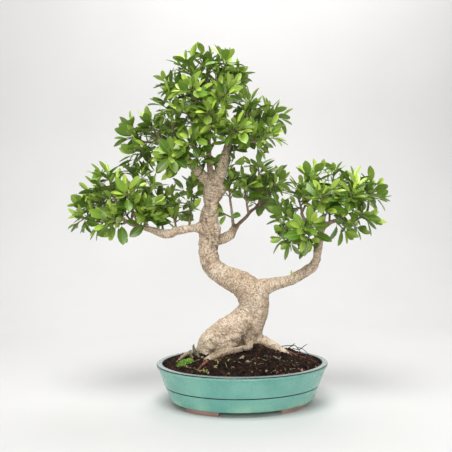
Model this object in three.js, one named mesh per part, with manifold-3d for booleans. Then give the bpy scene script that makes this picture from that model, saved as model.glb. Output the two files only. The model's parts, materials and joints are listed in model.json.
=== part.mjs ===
// A Chinese banyan (Ficus microcarpa) bonsai in an oval glazed pot.
// Millimetres, +Z up, +X along the pot's long side, -Y towards the viewer.
// The origin is the bottom centre of the whole object's box.

import * as THREE from "three";
import { mergeVertices } from "three/addons/utils/BufferGeometryUtils.js";
import Module from "manifold-3d";

const wasm = await Module();
wasm.setup();

// Driving dimensions of the pot
const RIM_HALF_LENGTH = 170;
const RIM_HALF_DEPTH = 135;
const POT_HEIGHT = 81;
const LIP_HEIGHT = 8;
const LIP_WIDTH = 11;
const WALL = 8;
const FLOOR = 9;
const FOOT_HEIGHT = 9.5;
const LINE_HEIGHT = 38;
const BASE_INSET = 28;
const WALL_TOP_INSET = 4;
const FOOT_ANGLES = [48, 132, 228, 312];
const FOOT_HALF_SPAN = 18;
const FOOT_INSET = 7;
const FOOT_WIDTH = 20;
const FOOT_TAPER = 0.1;
const DRAIN_OFFSET = 70;
const DRAIN_RADIUS = 11;
const POT_SEGMENTS = 32;

// Driving dimensions of the mesh squares over the drainage holes
const MESH_SIDE = 34;
const MESH_THICKNESS = 1;
const MESH_OPENING = 7;
const MESH_BAR = 2;

// Driving dimensions of the soil and the tree
const SOIL_EDGE = 73;
const SOIL_MOUND = 32;
const SOIL_HEAP = { x: 28, y: -22, height: 12, spread: 24 };
const CLEARANCE = 0.3;
const LEAF_LENGTH = 43;
const LEAF_WIDTH = 19;
const LEAF_THICKNESS = 0.8;
const LEAF_FOLD = 0.34;
const LEAVES_ON_A_SPRAY = 5;
const SHOOT_LENGTH = 27;
const SHOOT_RADIUS = 1.8;
const TWIG_RADII = [3, 2.2];
const MOST_TRIES = 12;
const TEST_GROWTH = 0.35;

const { degToRad, lerp, radToDeg } = THREE.MathUtils;
const TREE_TURN = degToRad(-8);
const Z_AXIS = new THREE.Vector3(0, 0, 1);

// The limbs, each a route of [x, y, z, radius] seen from the front: x to the right, y away from the viewer
const LIMBS = {
  trunk: [
    [2, 4, 50, 27], [6, 2, 100, 27], [11, 0, 135, 25], [20, 0, 160, 26], [24, 0, 186, 28],
    [19, 0, 213, 30], [0, 0, 233, 26], [-25, 0, 246, 22.5], [-47, -1, 258, 20.7], [-61, -2, 272, 19.7],
    [-67, -2, 292, 19.5], [-68, -2, 313, 19.3], [-66, 0, 338, 19.8], [-67, 1, 361, 17.9],
    [-65, 1, 381, 16.1], [-61, 0, 398, 16], [-58, 0, 421, 19.2], [-57, 0, 442, 17.5],
  ],
  leftLobe: [
    [22, 0, 182, 25], [-6, -5, 158, 27], [-40, -10, 136, 27.5], [-62, -12, 116, 26.5],
    [-68, -14, 96, 22], [-70, -16, 66, 19],
  ],
  middleLobe: [[12, -4, 176, 24], [-12, -12, 146, 25], [-32, -18, 116, 25], [-46, -20, 76, 21]],
  rightRoot: [
    [14, -2, 132, 19], [41, -6, 120, 12.5], [64, -10, 111, 9.5], [83, -14, 99, 7],
    [100, -18, 86, 5], [116, -24, 70, 3.2],
  ],
  leftRoot: [[-70, -12, 112, 8], [-96, -18, 104, 4.6], [-116, -22, 96, 3.8], [-130, -26, 82, 3]],
  frontRoot: [
    [18, -14, 114, 8], [8, -34, 114, 6.2], [-14, -46, 112, 6], [-41, -52, 107, 6.2],
    [-65, -58, 98, 6], [-80, -66, 86, 4.6], [-90, -74, 70, 3],
  ],
  backRoot: [
    [18, 8, 140, 20], [26, 34, 120, 15], [36, 54, 108, 11], [50, 70, 96, 8], [62, 82, 78, 5],
  ],
  backLeftRoot: [
    [-8, 2, 140, 20], [-26, 28, 122, 15], [-46, 46, 108, 11], [-68, 58, 96, 8], [-86, 68, 76, 5],
  ],
  rightBranch: [
    [20, 0, 219, 22], [38, 0, 228, 18], [56, 0, 233, 14.5], [74, -2, 238, 12], [93, -4, 242, 10.6],
    [109, -6, 250, 10.8], [125, -8, 260, 10.6], [139, -10, 271, 10], [146, -10, 287, 8.4],
    [148, -10, 302, 8.8], [152, -9, 322, 7.6], [156, -8, 340, 6.2], [162, -8, 360, 5.2],
  ],
  rightTwigLeft: [[152, -9, 322, 6], [140, -8, 340, 4.6], [126, -4, 358, 3.8], [116, 0, 376, 3]],
  rightTwigRight: [
    [158, -8, 346, 5], [172, -6, 356, 4.6], [190, -6, 364, 4], [206, -4, 380, 3.2], [220, -2, 400, 2.6],
  ],
  leftBranch: [
    [-66, 0, 334, 13], [-84, -4, 345, 9.8], [-106, -9, 345, 7.4], [-129, -13, 340, 8.6],
    [-152, -17, 334, 8.4], [-171, -21, 340, 6.9], [-189, -24, 345, 5.6], [-207, -27, 350, 4.8],
    [-225, -28, 358, 4.2], [-243, -24, 370, 3.6], [-262, -10, 380, 3],
  ],
  backBranch: [[-65, 4, 322, 13], [-43, 16, 323, 10.8], [-26, 24, 331, 10], [-16, 28, 344, 7.6]],
  backTwigLeft: [[-17, 28, 340, 4.6], [-19, 27, 360, 3.4], [-21, 26, 378, 3], [-24, 28, 398, 2.6]],
  backTwigRight: [
    [-16, 28, 342, 5.6], [-7, 30, 354, 4.4], [6, 32, 366, 3.8], [20, 34, 382, 3.4], [35, 38, 390, 3],
    [50, 42, 400, 2.6],
  ],
  crownLeft: [
    [-60, 0, 430, 13], [-78, -3, 448, 10.8], [-94, -6, 465, 9.7], [-110, -9, 480, 8.6],
    [-124, -12, 496, 7.4], [-138, -12, 506, 6], [-158, -10, 514, 4.8], [-178, -6, 518, 3.8],
  ],
  crownRight: [
    [-55, 0, 432, 15], [-45, 0, 455, 12], [-38, 1, 475, 10], [-33, 2, 496, 8.8], [-28, 2, 513, 7.2],
    [-16, 0, 524, 5.4], [2, 2, 534, 4.2], [20, 4, 548, 3.4],
  ],
  crownMiddle: [
    [-60, 2, 430, 11], [-64, 6, 460, 6.6], [-67, 4, 486, 6], [-68, -2, 512, 5.6], [-67, 0, 540, 5.2],
    [-69, 0, 570, 4.8], [-71, 0, 600, 4.4], [-72, 2, 632, 3.6],
  ],
};

// How many sides each limb's tube has, and the limbs that stand in the soil
const LIMB_SIDES = {
  trunk: 12, leftLobe: 10, middleLobe: 8, rightRoot: 7, leftRoot: 6, frontRoot: 6, backRoot: 7,
  backLeftRoot: 7, rightBranch: 8, rightTwigLeft: 5, rightTwigRight: 5, leftBranch: 7, backBranch: 8,
  backTwigLeft: 5, backTwigRight: 5, crownLeft: 7, crownRight: 8, crownMiddle: 7,
};
const ROOTED_LIMBS = [
  "trunk", "leftLobe", "middleLobe", "rightRoot", "leftRoot", "frontRoot", "backRoot", "backLeftRoot",
];

// Leafy sprays by pad: the limb that carries them, the stretch of it that their twigs leave, and centres
const PADS = [
  { name: "top", limb: "crownMiddle", from: 0.72, to: 0.97, centres: [
    [-98, -54, 606], [-34, -46, 604], [-77, 56, 622], [-138, 5, 628], [-18, 24, 644],
    [-106, -12, 660], [-36, -22, 662], [-68, 12, 679]] },
  { name: "heart", limb: "crownMiddle", from: 0.3, to: 0.7, centres: [
    [-97, -58, 509], [-62, -56, 556], [-107, -50, 563], [-73, 58, 560]] },
  { name: "crown_left", limb: "crownLeft", from: 0.45, to: 0.97, centres: [
    [-138, -52, 484], [-148, 46, 533], [-144, 0, 587], [-179, -16, 546], [-206, -8, 492],
    [-218, 14, 533]] },
  { name: "crown_right", limb: "crownRight", from: 0.5, to: 0.97, centres: [
    [-16, -48, 534], [8, 48, 552], [46, -22, 524], [12, -4, 588], [54, 10, 568]] },
  { name: "left_pad", limb: "leftBranch", from: 0.58, to: 0.98, centres: [
    [-188, -44, 380], [-184, 0, 424], [-219, -54, 408], [-250, 44, 404], [-215, 8, 446],
    [-259, -40, 362], [-262, -14, 440], [-308, -16, 366], [-292, 18, 420], [-314, 12, 392]] },
  { name: "left_middle", limb: "leftBranch", from: 0.2, to: 0.42, centres: [
    [-103, 34, 420], [-137, 26, 387], [-165, 26, 392]] },
  { name: "right_middle", limb: "backTwigRight", from: 0.5, to: 0.97, centres: [
    [4, 30, 436], [42, 72, 420], [34, 34, 462], [66, 46, 440]] },
  { name: "right_inner", limb: "backTwigLeft", from: 0.9, to: 0.9, centres: [[-27, 34, 444]] },
  { name: "right_pad_near", limb: "rightTwigLeft", from: 0.3, to: 0.97, centres: [
    [117, -46, 342], [92, -4, 326], [86, 18, 366], [112, 6, 412], [140, -12, 443]] },
  { name: "right_pad_far", limb: "rightTwigRight", from: 0.1, to: 0.97, centres: [
    [150, -56, 404], [184, 56, 402], [231, -20, 366], [206, -46, 408], [182, 16, 439],
    [220, 2, 434], [259, 2, 416]] },
];

// Materials

function finish(color, roughness, metalness = 0) {
  return new THREE.MeshStandardMaterial({ color, roughness, metalness });
}

const GLAZE = finish(0x80beac, 0.3);
const SOIL = finish(0x3a2a22, 0.95);
const MESH_PLASTIC = finish(0x222222, 0.6);
const BARK = finish(0xbeaa91, 0.8);
const LEAF_GREENS = [finish(0x3c7828, 0.4), finish(0x5a9632, 0.42), finish(0x2d6423, 0.38)];

// Solids: closed meshes go into the boolean library and come back

function solidOf(geometry) {
  const bare = geometry.clone();
  bare.deleteAttribute("normal");
  bare.deleteAttribute("uv");
  const merged = mergeVertices(bare, 1e-4);
  return new wasm.Manifold(new wasm.Mesh({
    numProp: 3,
    vertProperties: Float32Array.from(merged.attributes.position.array),
    triVerts: Uint32Array.from(merged.index.array),
  }));
}

function geometryOf(solid) {
  const { vertProperties, triVerts } = solid.getMesh();
  const geometry = new THREE.BufferGeometry();
  geometry.setAttribute("position", new THREE.BufferAttribute(vertProperties, 3));
  geometry.setIndex(new THREE.BufferAttribute(triVerts, 1));
  geometry.computeVertexNormals();
  return geometry;
}

function namedMesh(name, geometry, material) {
  const mesh = new THREE.Mesh(geometry, material);
  mesh.name = name;
  return mesh;
}

function meshFrom(points, faces) {
  const geometry = new THREE.BufferGeometry();
  const numbers = points.flatMap((point) => point.toArray());
  geometry.setAttribute("position", new THREE.Float32BufferAttribute(numbers, 3));
  geometry.setIndex(faces.flat());
  return geometry;
}

// A number between 0 and 1 that is always the same for the same two whole numbers
function scatter(index, salt) {
  const wave = Math.sin(index * 12.9898 + salt * 78.233) * 43758.5453;
  return wave - Math.floor(wave);
}

// The pot: a profile of insets from the rim's outline and heights, carried round an oval

const FLOOR_TOP = FOOT_HEIGHT + FLOOR;
const LIP_BOTTOM = POT_HEIGHT - LIP_HEIGHT;

function ovalPoint(angle, inset) {
  const c = Math.cos(angle);
  const s = Math.sin(angle);
  const normal = new THREE.Vector2(c / RIM_HALF_LENGTH, s / RIM_HALF_DEPTH).normalize();
  return new THREE.Vector2(RIM_HALF_LENGTH * c, RIM_HALF_DEPTH * s).addScaledVector(normal, -inset);
}

// Faces of a closed body made of rings from its bottom to its top, with a point in the middle of each end
function ringFaces(rings, segments) {
  const faces = [];
  const last = 1 + rings * segments;
  const ring = (row, i) => 1 + row * segments + (i % segments);
  for (let i = 0; i < segments; i++) {
    faces.push([0, ring(0, i + 1), ring(0, i)]);
    for (let row = 0; row + 1 < rings; row++) {
      faces.push([ring(row, i), ring(row, i + 1), ring(row + 1, i + 1)]);
      faces.push([ring(row, i), ring(row + 1, i + 1), ring(row + 1, i)]);
    }
    faces.push([ring(rings - 1, i), ring(rings - 1, i + 1), last]);
  }
  return faces;
}

// Closed body round the oval from a profile of [inset, height], which runs bottom centre, out, up, in, down
function ovalBody(profile, segments) {
  const points = [new THREE.Vector3(0, 0, profile[0][1])];
  for (const [inset, height] of profile) {
    for (let i = 0; i < segments; i++) {
      const p = ovalPoint((i / segments) * 2 * Math.PI, inset);
      points.push(new THREE.Vector3(p.x, p.y, height));
    }
  }
  points.push(new THREE.Vector3(0, 0, profile.at(-1)[1]));
  return meshFrom(points, ringFaces(profile.length, segments));
}

// Inset of the wall's outer face at a height, a gentle flare from the base to just under the lip
function wallInset(height) {
  const rise = (height - FOOT_HEIGHT) / (LIP_BOTTOM - FOOT_HEIGHT);
  return lerp(BASE_INSET, WALL_TOP_INSET, Math.pow(rise, 0.92));
}

// A foot follows the base's outline and narrows downwards, so that its ends slope
function footSolid(centreAngle) {
  const steps = 5;
  const sunk = 2;
  const outer = [];
  const inner = [];
  for (let i = 0; i <= steps; i++) {
    const angle = degToRad(centreAngle + FOOT_HALF_SPAN * ((2 * i) / steps - 1));
    outer.push(ovalPoint(angle, BASE_INSET + FOOT_INSET));
    inner.unshift(ovalPoint(angle, BASE_INSET + FOOT_INSET + FOOT_WIDTH));
  }
  const depth = FOOT_HEIGHT + sunk;
  const outline = new THREE.Shape([...outer, ...inner]);
  const foot = new THREE.ExtrudeGeometry(outline, { depth, bevelEnabled: false });
  const middle = ovalPoint(degToRad(centreAngle), BASE_INSET + FOOT_INSET + FOOT_WIDTH / 2);
  const position = foot.attributes.position;
  for (let i = 0; i < position.count; i++) {
    const taper = FOOT_TAPER * (1 - position.getZ(i) / depth);
    position.setX(i, lerp(position.getX(i), middle.x, taper));
    position.setY(i, lerp(position.getY(i), middle.y, taper));
  }
  return solidOf(foot);
}

function buildPot() {
  const edge = 2;
  const profile = [
    [BASE_INSET + edge, FOOT_HEIGHT],
    [BASE_INSET, FOOT_HEIGHT + edge],
    // the incised line, with the band above it a little proud
    [wallInset(LINE_HEIGHT - 1.5), LINE_HEIGHT - 1.5],
    [wallInset(LINE_HEIGHT) + 1.4, LINE_HEIGHT],
    [wallInset(LINE_HEIGHT + 1.5) - 0.6, LINE_HEIGHT + 1.5],
    [wallInset(LIP_BOTTOM - edge), LIP_BOTTOM - edge],
    [1.5, LIP_BOTTOM],
    [0, LIP_BOTTOM + edge],
    [0, POT_HEIGHT - edge],
    [edge, POT_HEIGHT],
    [LIP_WIDTH - 1, POT_HEIGHT],
    [LIP_WIDTH, POT_HEIGHT - 1.5],
    [wallInset(LIP_BOTTOM) + WALL, LIP_BOTTOM - edge],
    [BASE_INSET + WALL, FLOOR_TOP + 6],
    [BASE_INSET + 2 * WALL, FLOOR_TOP],
  ];
  let pot = solidOf(ovalBody(profile, POT_SEGMENTS));
  for (const angle of FOOT_ANGLES) pot = pot.add(footSolid(angle));
  for (const side of [-1, 1]) {
    const hole = new THREE.CylinderGeometry(DRAIN_RADIUS, DRAIN_RADIUS, 3 * FLOOR, 16);
    hole.rotateX(Math.PI / 2).translate(side * DRAIN_OFFSET, 0, FOOT_HEIGHT + FLOOR / 2);
    pot = pot.subtract(solidOf(hole));
  }
  return namedMesh("pot", geometryOf(pot), GLAZE);
}

// Mesh squares over the drainage holes

function buildDrainMesh(name, side) {
  const offset = (MESH_OPENING + MESH_BAR) / 2;
  let solid = solidOf(new THREE.BoxGeometry(MESH_SIDE, MESH_SIDE, MESH_THICKNESS));
  for (const row of [-1, 1]) {
    for (const column of [-1, 1]) {
      const opening = new THREE.BoxGeometry(MESH_OPENING, MESH_OPENING, MESH_THICKNESS * 3);
      opening.translate(column * offset, row * offset, 0);
      solid = solid.subtract(solidOf(opening));
    }
  }
  const mesh = namedMesh(name, geometryOf(solid), MESH_PLASTIC);
  mesh.position.set(side * DRAIN_OFFSET, 0, FLOOR_TOP + CLEARANCE + MESH_THICKNESS / 2);
  return mesh;
}

// A limb: rings along a smooth route, with a radius that changes from point to point

function limbCurve(route) {
  const points = route.map(([x, y, z]) => new THREE.Vector3(x, y, z));
  return new THREE.CatmullRomCurve3(points, false, "centripetal");
}

// A direction square to a limb or shoot, from which angles round it are counted
function acrossOf(along) {
  return new THREE.Vector3().crossVectors(along, new THREE.Vector3(0.9, 0.1, 0.4)).normalize();
}

// grow makes the limb thicker and longer, end is the direction of its last ring and turn rolls its sides
function limb(route, sides, { grow = 0, end = null, turn = 0 } = {}) {
  const curve = limbCurve(route);
  const count = route.length;
  const points = [];
  const faces = [];
  const across = new THREE.Vector3();
  for (let r = 0; r < count; r++) {
    const t = r / (count - 1);
    const along = end && r === count - 1 ? end : curve.getTangent(t);
    if (r === 0) across.copy(acrossOf(along));
    across.addScaledVector(along, -across.dot(along)).normalize();
    const up = new THREE.Vector3().crossVectors(along, across);
    const centre = curve.getPoint(t);
    if (r === 0) centre.addScaledVector(along, -grow);
    if (r === count - 1) centre.addScaledVector(along, grow);
    const radius = route[r][3] + grow;
    for (let k = 0; k < sides; k++) {
      const angle = turn + (k / sides) * 2 * Math.PI;
      points.push(centre.clone()
        .addScaledVector(across, radius * Math.cos(angle))
        .addScaledVector(up, radius * Math.sin(angle)));
    }
  }
  const ring = (r, k) => r * sides + (k % sides);
  for (let r = 0; r + 1 < count; r++) {
    for (let k = 0; k < sides; k++) {
      faces.push([ring(r, k), ring(r, k + 1), ring(r + 1, k + 1)]);
      faces.push([ring(r, k), ring(r + 1, k + 1), ring(r + 1, k)]);
    }
  }
  for (let k = 1; k + 1 < sides; k++) {
    faces.push([ring(0, 0), ring(0, k + 1), ring(0, k)]);
    faces.push([ring(count - 1, 0), ring(count - 1, k), ring(count - 1, k + 1)]);
  }
  return solidOf(meshFrom(points, faces));
}

function joined(solids) {
  return solids.reduce((whole, next) => whole.add(next));
}

function limbsNamed(names, grow = 0) {
  return joined(names.map((name) => limb(LIMBS[name], LIMB_SIDES[name], { grow })));
}

// Twigs: each leaves its limb and bends to run into the foot of its spray

function sprayPlan() {
  const plan = [];
  for (const { name, limb: carrier, from, to, centres } of PADS) {
    const curve = limbCurve(LIMBS[carrier]);
    centres.forEach((place, i) => {
      const t = centres.length > 1 ? lerp(from, to, i / (centres.length - 1)) : from;
      const start = curve.getPoint(t);
      const centre = new THREE.Vector3(...place);
      const heading = centre.clone().sub(start).normalize().addScaledVector(Z_AXIS, 0.4).normalize();
      const foot = centre.clone().addScaledVector(heading, -0.6 * SHOOT_LENGTH);
      plan.push({ name: `spray_${name}_${i + 1}`, start, foot, heading, number: plan.length });
    });
  }
  return plan;
}

function twig({ start, foot, heading }) {
  const reach = foot.distanceTo(start);
  const bend = foot.clone().addScaledVector(heading, -0.45 * reach);
  const curve = new THREE.QuadraticBezierCurve3(start, bend, foot);
  const route = [0, 0.5, 1].map((t) => [...curve.getPoint(t).toArray(), lerp(...TWIG_RADII, t)]);
  return limb(route, 3, { end: heading });
}

// Leaves: a pointed oval of six points, folded up along its midrib, the same on both faces

// Half of the outline, as shares of the leaf's length and half width
const LEAF_SHOULDERS = [[0.43, 0.86], [0.76, 0.86]];

// grow makes the leaf larger all round, and from leaves out its first stretch, both for clearance tests
function leaf({ root, along, face, length, width, grow = 0, from = 0 }) {
  const side = new THREE.Vector3().crossVectors(face, along).normalize();
  const up = new THREE.Vector3().crossVectors(along, side);
  const [low, high] = LEAF_SHOULDERS.map(([s, share]) => [s, (share * width) / 2 + grow]);
  const edge = [
    [from, 0], [low[0], -low[1]], [high[0], -high[1]],
    [1 + grow / length, 0], [high[0], high[1]], [low[0], low[1]],
  ];
  const half = LEAF_THICKNESS / 2 + grow;
  const points = [half, -half].flatMap((level) => edge.map(([s, y]) => root.clone()
    .addScaledVector(along, s * length)
    .addScaledVector(side, y)
    .addScaledVector(up, LEAF_FOLD * Math.abs(y) + level)));
  const faces = [[0, 1, 3], [1, 2, 3], [0, 3, 5], [3, 4, 5]];
  faces.push(...faces.map(([a, b, c]) => [a + 6, c + 6, b + 6]));
  for (let a = 0; a < 6; a++) {
    const b = (a + 1) % 6;
    faces.push([a, a + 6, b + 6], [a, b + 6, b]);
  }
  return solidOf(meshFrom(points, faces));
}

// The shoot of a spray has a side for each leaf, and leaves that follow each other are two sides apart
const SIDE_TURN = (2 * Math.PI) / LEAVES_ON_A_SPRAY;

function shootTurn(number) {
  return scatter(number, 1) * 2 * Math.PI;
}

function shoot({ foot, heading, number }, grow = 0) {
  const start = foot.clone().addScaledVector(heading, CLEARANCE);
  const tip = foot.clone().addScaledVector(heading, SHOOT_LENGTH);
  const route = [[...start.toArray(), SHOOT_RADIUS], [...tip.toArray(), 0.9 * SHOOT_RADIUS]];
  return limb(route, LEAVES_ON_A_SPRAY, { grow, turn: shootTurn(number) });
}

// Where leaf number i of a spray starts and points, bent a little further at each try
function leafPose({ foot, heading, number }, i, attempt) {
  const rise = (i + 0.5) / LEAVES_ON_A_SPRAY;
  const bend = (attempt % 2 ? 1 : -1) * Math.ceil(attempt / 2);
  const azimuth = shootTurn(number) + (2 * i + 0.5) * SIDE_TURN + 0.04 * bend;
  const lean = degToRad(lerp(84, 46, rise) + 10 * (scatter(number * 7 + i, 2) - 0.5) + 5 * bend);
  const outward = acrossOf(heading).applyAxisAngle(heading, azimuth);
  const along = heading.clone().multiplyScalar(Math.cos(lean)).addScaledVector(outward, Math.sin(lean));
  const upward = heading.clone().multiplyScalar(0.6).addScaledVector(Z_AXIS, 0.8);
  const side = new THREE.Vector3().crossVectors(upward, along).normalize();
  const size = (0.86 + 0.26 * scatter(number * 5 + i, 3)) * (1 - 0.03 * attempt);
  return {
    root: foot.clone().addScaledVector(heading, SHOOT_LENGTH * lerp(0.2, 0.92, rise)),
    along,
    face: new THREE.Vector3().crossVectors(along, side).normalize(),
    length: LEAF_LENGTH * size,
    width: LEAF_WIDTH * size,
  };
}

function obstacle(solid, number) {
  const { min, max } = solid.boundingBox();
  return { solid, number, box: new THREE.Box3(new THREE.Vector3(...min), new THREE.Vector3(...max)) };
}

function clash(a, b) {
  return a.box.intersectsBox(b.box) && !a.solid.intersect(b.solid).isEmpty();
}

// The first pose of a leaf that is clear of all that stands; for its own spray only the blade counts
function clearPose(spray, i, standing) {
  for (let attempt = 0; attempt < MOST_TRIES; attempt++) {
    const pose = leafPose(spray, i, attempt);
    const whole = obstacle(leaf({ ...pose, grow: TEST_GROWTH }));
    const blade = obstacle(leaf({ ...pose, grow: TEST_GROWTH, from: 0.2 }));
    if (!standing.some((thing) => clash(thing.number === spray.number ? blade : whole, thing))) return pose;
  }
  return null;
}

function buildTree() {
  const plan = sprayPlan();
  const wood = joined([limbsNamed(Object.keys(LIMBS)), ...plan.map(twig)]);
  const shoots = plan.map((spray) => obstacle(shoot(spray, CLEARANCE + 0.1), spray.number));
  const standing = [obstacle(wood), ...shoots];
  const meshes = [namedMesh("trunk", geometryOf(wood), BARK)];
  for (const spray of plan) {
    let body = shoot(spray);
    for (let i = 0; i < LEAVES_ON_A_SPRAY; i++) {
      const pose = clearPose(spray, i, standing);
      if (!pose) continue;
      const grown = leaf(pose);
      standing.push(obstacle(grown, spray.number));
      body = body.add(grown);
    }
    meshes.push(namedMesh(spray.name, geometryOf(body), LEAF_GREENS[spray.number % LEAF_GREENS.length]));
  }
  return meshes;
}

// The soil: a mound inside the pot's wall, with holes for the tree and pockets for the drain meshes

// Rings of the mound's surface, as shares of the way out from its middle
const SOIL_REACHES = [0.9, 0.66, 0.33];

function soilHeight(x, y, reach) {
  const relief = 1.6 * Math.sin(x * 0.13 + 2 * Math.cos(y * 0.09)) + 1.3 * Math.sin(y * 0.17 - x * 0.05);
  const { x: heapX, y: heapY, height, spread } = SOIL_HEAP;
  const heap = height * Math.exp(-((x - heapX) ** 2 + (y - heapY) ** 2) / (2 * spread ** 2));
  return SOIL_EDGE + SOIL_MOUND * (1 - Math.pow(reach, 3)) + relief * (1 - reach) + heap;
}

function soilBody() {
  const sides = [
    [BASE_INSET + 2 * WALL + CLEARANCE, FLOOR_TOP + CLEARANCE],
    [BASE_INSET + WALL + 2 * CLEARANCE, FLOOR_TOP + 6],
    [wallInset(LIP_BOTTOM) + WALL + 2 * CLEARANCE, LIP_BOTTOM - 2],
  ];
  const points = [new THREE.Vector3(0, 0, FLOOR_TOP + CLEARANCE)];
  const angles = [...Array(POT_SEGMENTS).keys()].map((i) => (i / POT_SEGMENTS) * 2 * Math.PI);
  for (const [inset, height] of sides) {
    for (const angle of angles) {
      const p = ovalPoint(angle, inset);
      points.push(new THREE.Vector3(p.x, p.y, height));
    }
  }
  for (const reach of SOIL_REACHES) {
    for (const angle of angles) {
      const p = ovalPoint(angle, sides.at(-1)[0]).multiplyScalar(reach);
      points.push(new THREE.Vector3(p.x, p.y, soilHeight(p.x, p.y, reach)));
    }
  }
  points.push(new THREE.Vector3(0, 0, soilHeight(0, 0, 0)));
  return solidOf(meshFrom(points, ringFaces(sides.length + SOIL_REACHES.length, POT_SEGMENTS)));
}

function buildSoil() {
  const holes = limbsNamed(ROOTED_LIMBS, CLEARANCE + 0.1);
  const pocketSide = MESH_SIDE + 2 * CLEARANCE;
  let soil = soilBody();
  for (const side of [-1, 1]) {
    const pocket = new THREE.BoxGeometry(pocketSide, pocketSide, 2 * (MESH_THICKNESS + CLEARANCE));
    pocket.translate(side * DRAIN_OFFSET, 0, FLOOR_TOP + CLEARANCE);
    soil = soil.subtract(solidOf(pocket));
  }
  const turned = holes.rotate([0, 0, radToDeg(TREE_TURN)]);
  return namedMesh("soil", geometryOf(soil.subtract(turned)), SOIL);
}

const bonsai = new THREE.Group();
bonsai.add(buildPot(), buildSoil());
bonsai.add(buildDrainMesh("drain_mesh_left", -1), buildDrainMesh("drain_mesh_right", 1));

const tree = new THREE.Group();
tree.rotation.z = TREE_TURN;
tree.add(...buildTree());
bonsai.add(tree);

// The origin goes to the bottom centre of everything
const extent = new THREE.Box3().setFromObject(bonsai, true);
const middle = extent.getCenter(new THREE.Vector3());
bonsai.position.set(-middle.x, -middle.y, -extent.min.z);

export default bonsai;
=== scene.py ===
# %% [markdown]
# A Chinese banyan bonsai in an oval glazed pot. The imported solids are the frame: they say where
# everything is. Each one is replaced here by a finer piece of the same form, and moss, grains of
# soil and fine roots are added. Lengths in the tables are millimetres, as in the solids' source.

# %% Load the frame
import json
import math
import random

import bmesh
import bpy
import numpy as np
from mathutils import Matrix, Quaternion, Vector, kdtree, noise

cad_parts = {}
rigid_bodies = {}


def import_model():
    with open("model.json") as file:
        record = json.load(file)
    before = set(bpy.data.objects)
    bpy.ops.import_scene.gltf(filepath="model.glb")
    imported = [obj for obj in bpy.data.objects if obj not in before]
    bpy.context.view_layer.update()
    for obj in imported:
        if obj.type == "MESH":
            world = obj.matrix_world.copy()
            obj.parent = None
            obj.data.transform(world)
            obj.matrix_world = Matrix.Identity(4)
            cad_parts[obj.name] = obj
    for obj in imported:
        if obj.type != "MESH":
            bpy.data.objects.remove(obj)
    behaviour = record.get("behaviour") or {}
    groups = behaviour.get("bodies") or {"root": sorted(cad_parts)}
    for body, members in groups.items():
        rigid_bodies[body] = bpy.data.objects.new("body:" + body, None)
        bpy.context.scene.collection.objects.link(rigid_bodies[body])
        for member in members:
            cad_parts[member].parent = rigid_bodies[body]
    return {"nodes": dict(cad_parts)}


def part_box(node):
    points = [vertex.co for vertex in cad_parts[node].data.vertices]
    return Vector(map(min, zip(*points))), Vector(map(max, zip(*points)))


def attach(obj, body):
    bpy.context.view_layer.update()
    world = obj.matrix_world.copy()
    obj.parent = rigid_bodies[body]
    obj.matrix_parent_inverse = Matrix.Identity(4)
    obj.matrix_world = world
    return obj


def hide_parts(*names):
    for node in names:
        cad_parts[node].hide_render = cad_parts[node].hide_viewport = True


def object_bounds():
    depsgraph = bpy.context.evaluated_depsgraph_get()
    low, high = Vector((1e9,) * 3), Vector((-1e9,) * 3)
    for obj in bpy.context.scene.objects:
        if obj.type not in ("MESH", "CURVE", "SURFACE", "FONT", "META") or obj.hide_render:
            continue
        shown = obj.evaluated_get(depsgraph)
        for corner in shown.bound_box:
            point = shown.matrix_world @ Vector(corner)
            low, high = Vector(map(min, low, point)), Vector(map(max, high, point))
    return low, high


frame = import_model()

MM = 0.001
UP = Vector((0, 0, 1))
cad_low, cad_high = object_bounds()
pot_low, pot_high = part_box("pot")
POT_X = (pot_low.x + pot_high.x) / 2


def shown(name, data):
    """An object of the scene that holds the data."""
    made = bpy.data.objects.new(name, data)
    bpy.context.scene.collection.objects.link(made)
    return made


def new_piece(name, points, faces=(), smooth=True, edges=()):
    mesh = bpy.data.meshes.new(name)
    mesh.from_pydata([tuple(p) for p in points], edges, faces)
    mesh.polygons.foreach_set("use_smooth", [smooth] * len(mesh.polygons))
    mesh.update()
    return shown(name, mesh)


def note(piece, name, kind, values):
    """Writes one value a point as an attribute that a shader or a grower reads."""
    field = "vector" if kind == "FLOAT_VECTOR" else "value"
    piece.data.attributes.new(name, kind, "POINT").data.foreach_set(field, values)


def triangles(piece):
    return sum(len(p.vertices) - 2 for p in piece.data.polygons)


def given(piece, slot):
    """The whole object is one body, so every piece rides the same one."""
    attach(piece, "root")


print("solids", len(frame["nodes"]), "box", [round(v, 4) for v in (*cad_low, *cad_high)])

# %% [markdown]
# Every material and every Geometry Nodes tree below is a graph of nodes. One small class makes a
# node from its type, its settings and its sockets, and another wraps an output socket, so that
# shader maths reads like ordinary Python: a mask times a number adds a Math node.

# %% Nodes from Python expressions


class Value:
    """An output socket that adds Math nodes when it is used with +, -, * or **."""

    def __init__(self, graph, socket):
        self.graph, self.socket = graph, socket

    def math(self, operation, *others):
        terms = dict(enumerate((self, *others)))
        return self.graph.node("ShaderNodeMath", {"operation": operation}, terms)

    def __add__(self, other):
        return self.math("ADD", other)

    def __sub__(self, other):
        return self.math("SUBTRACT", other)

    def __mul__(self, other):
        return self.math("MULTIPLY", other)

    def __pow__(self, other):
        return self.math("POWER", other)


class Graph:
    """A node tree. Sockets go by number in a dict, or by name with _ for a space."""

    def __init__(self, tree):
        self.tree = tree

    def node(self, kind, settings=None, sockets=None, out=0, **named):
        made = self.tree.nodes.new(kind)
        for name, value in (settings or {}).items():
            setattr(made, name, value)
        by_name = {name.replace("_", " "): value for name, value in named.items()}
        for key, value in {**(sockets or {}), **by_name}.items():
            if isinstance(value, Value):
                self.tree.links.new(value.socket, made.inputs[key])
            else:
                made.inputs[key].default_value = value
        return Value(self, made.outputs[out]) if len(made.outputs) else made


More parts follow.
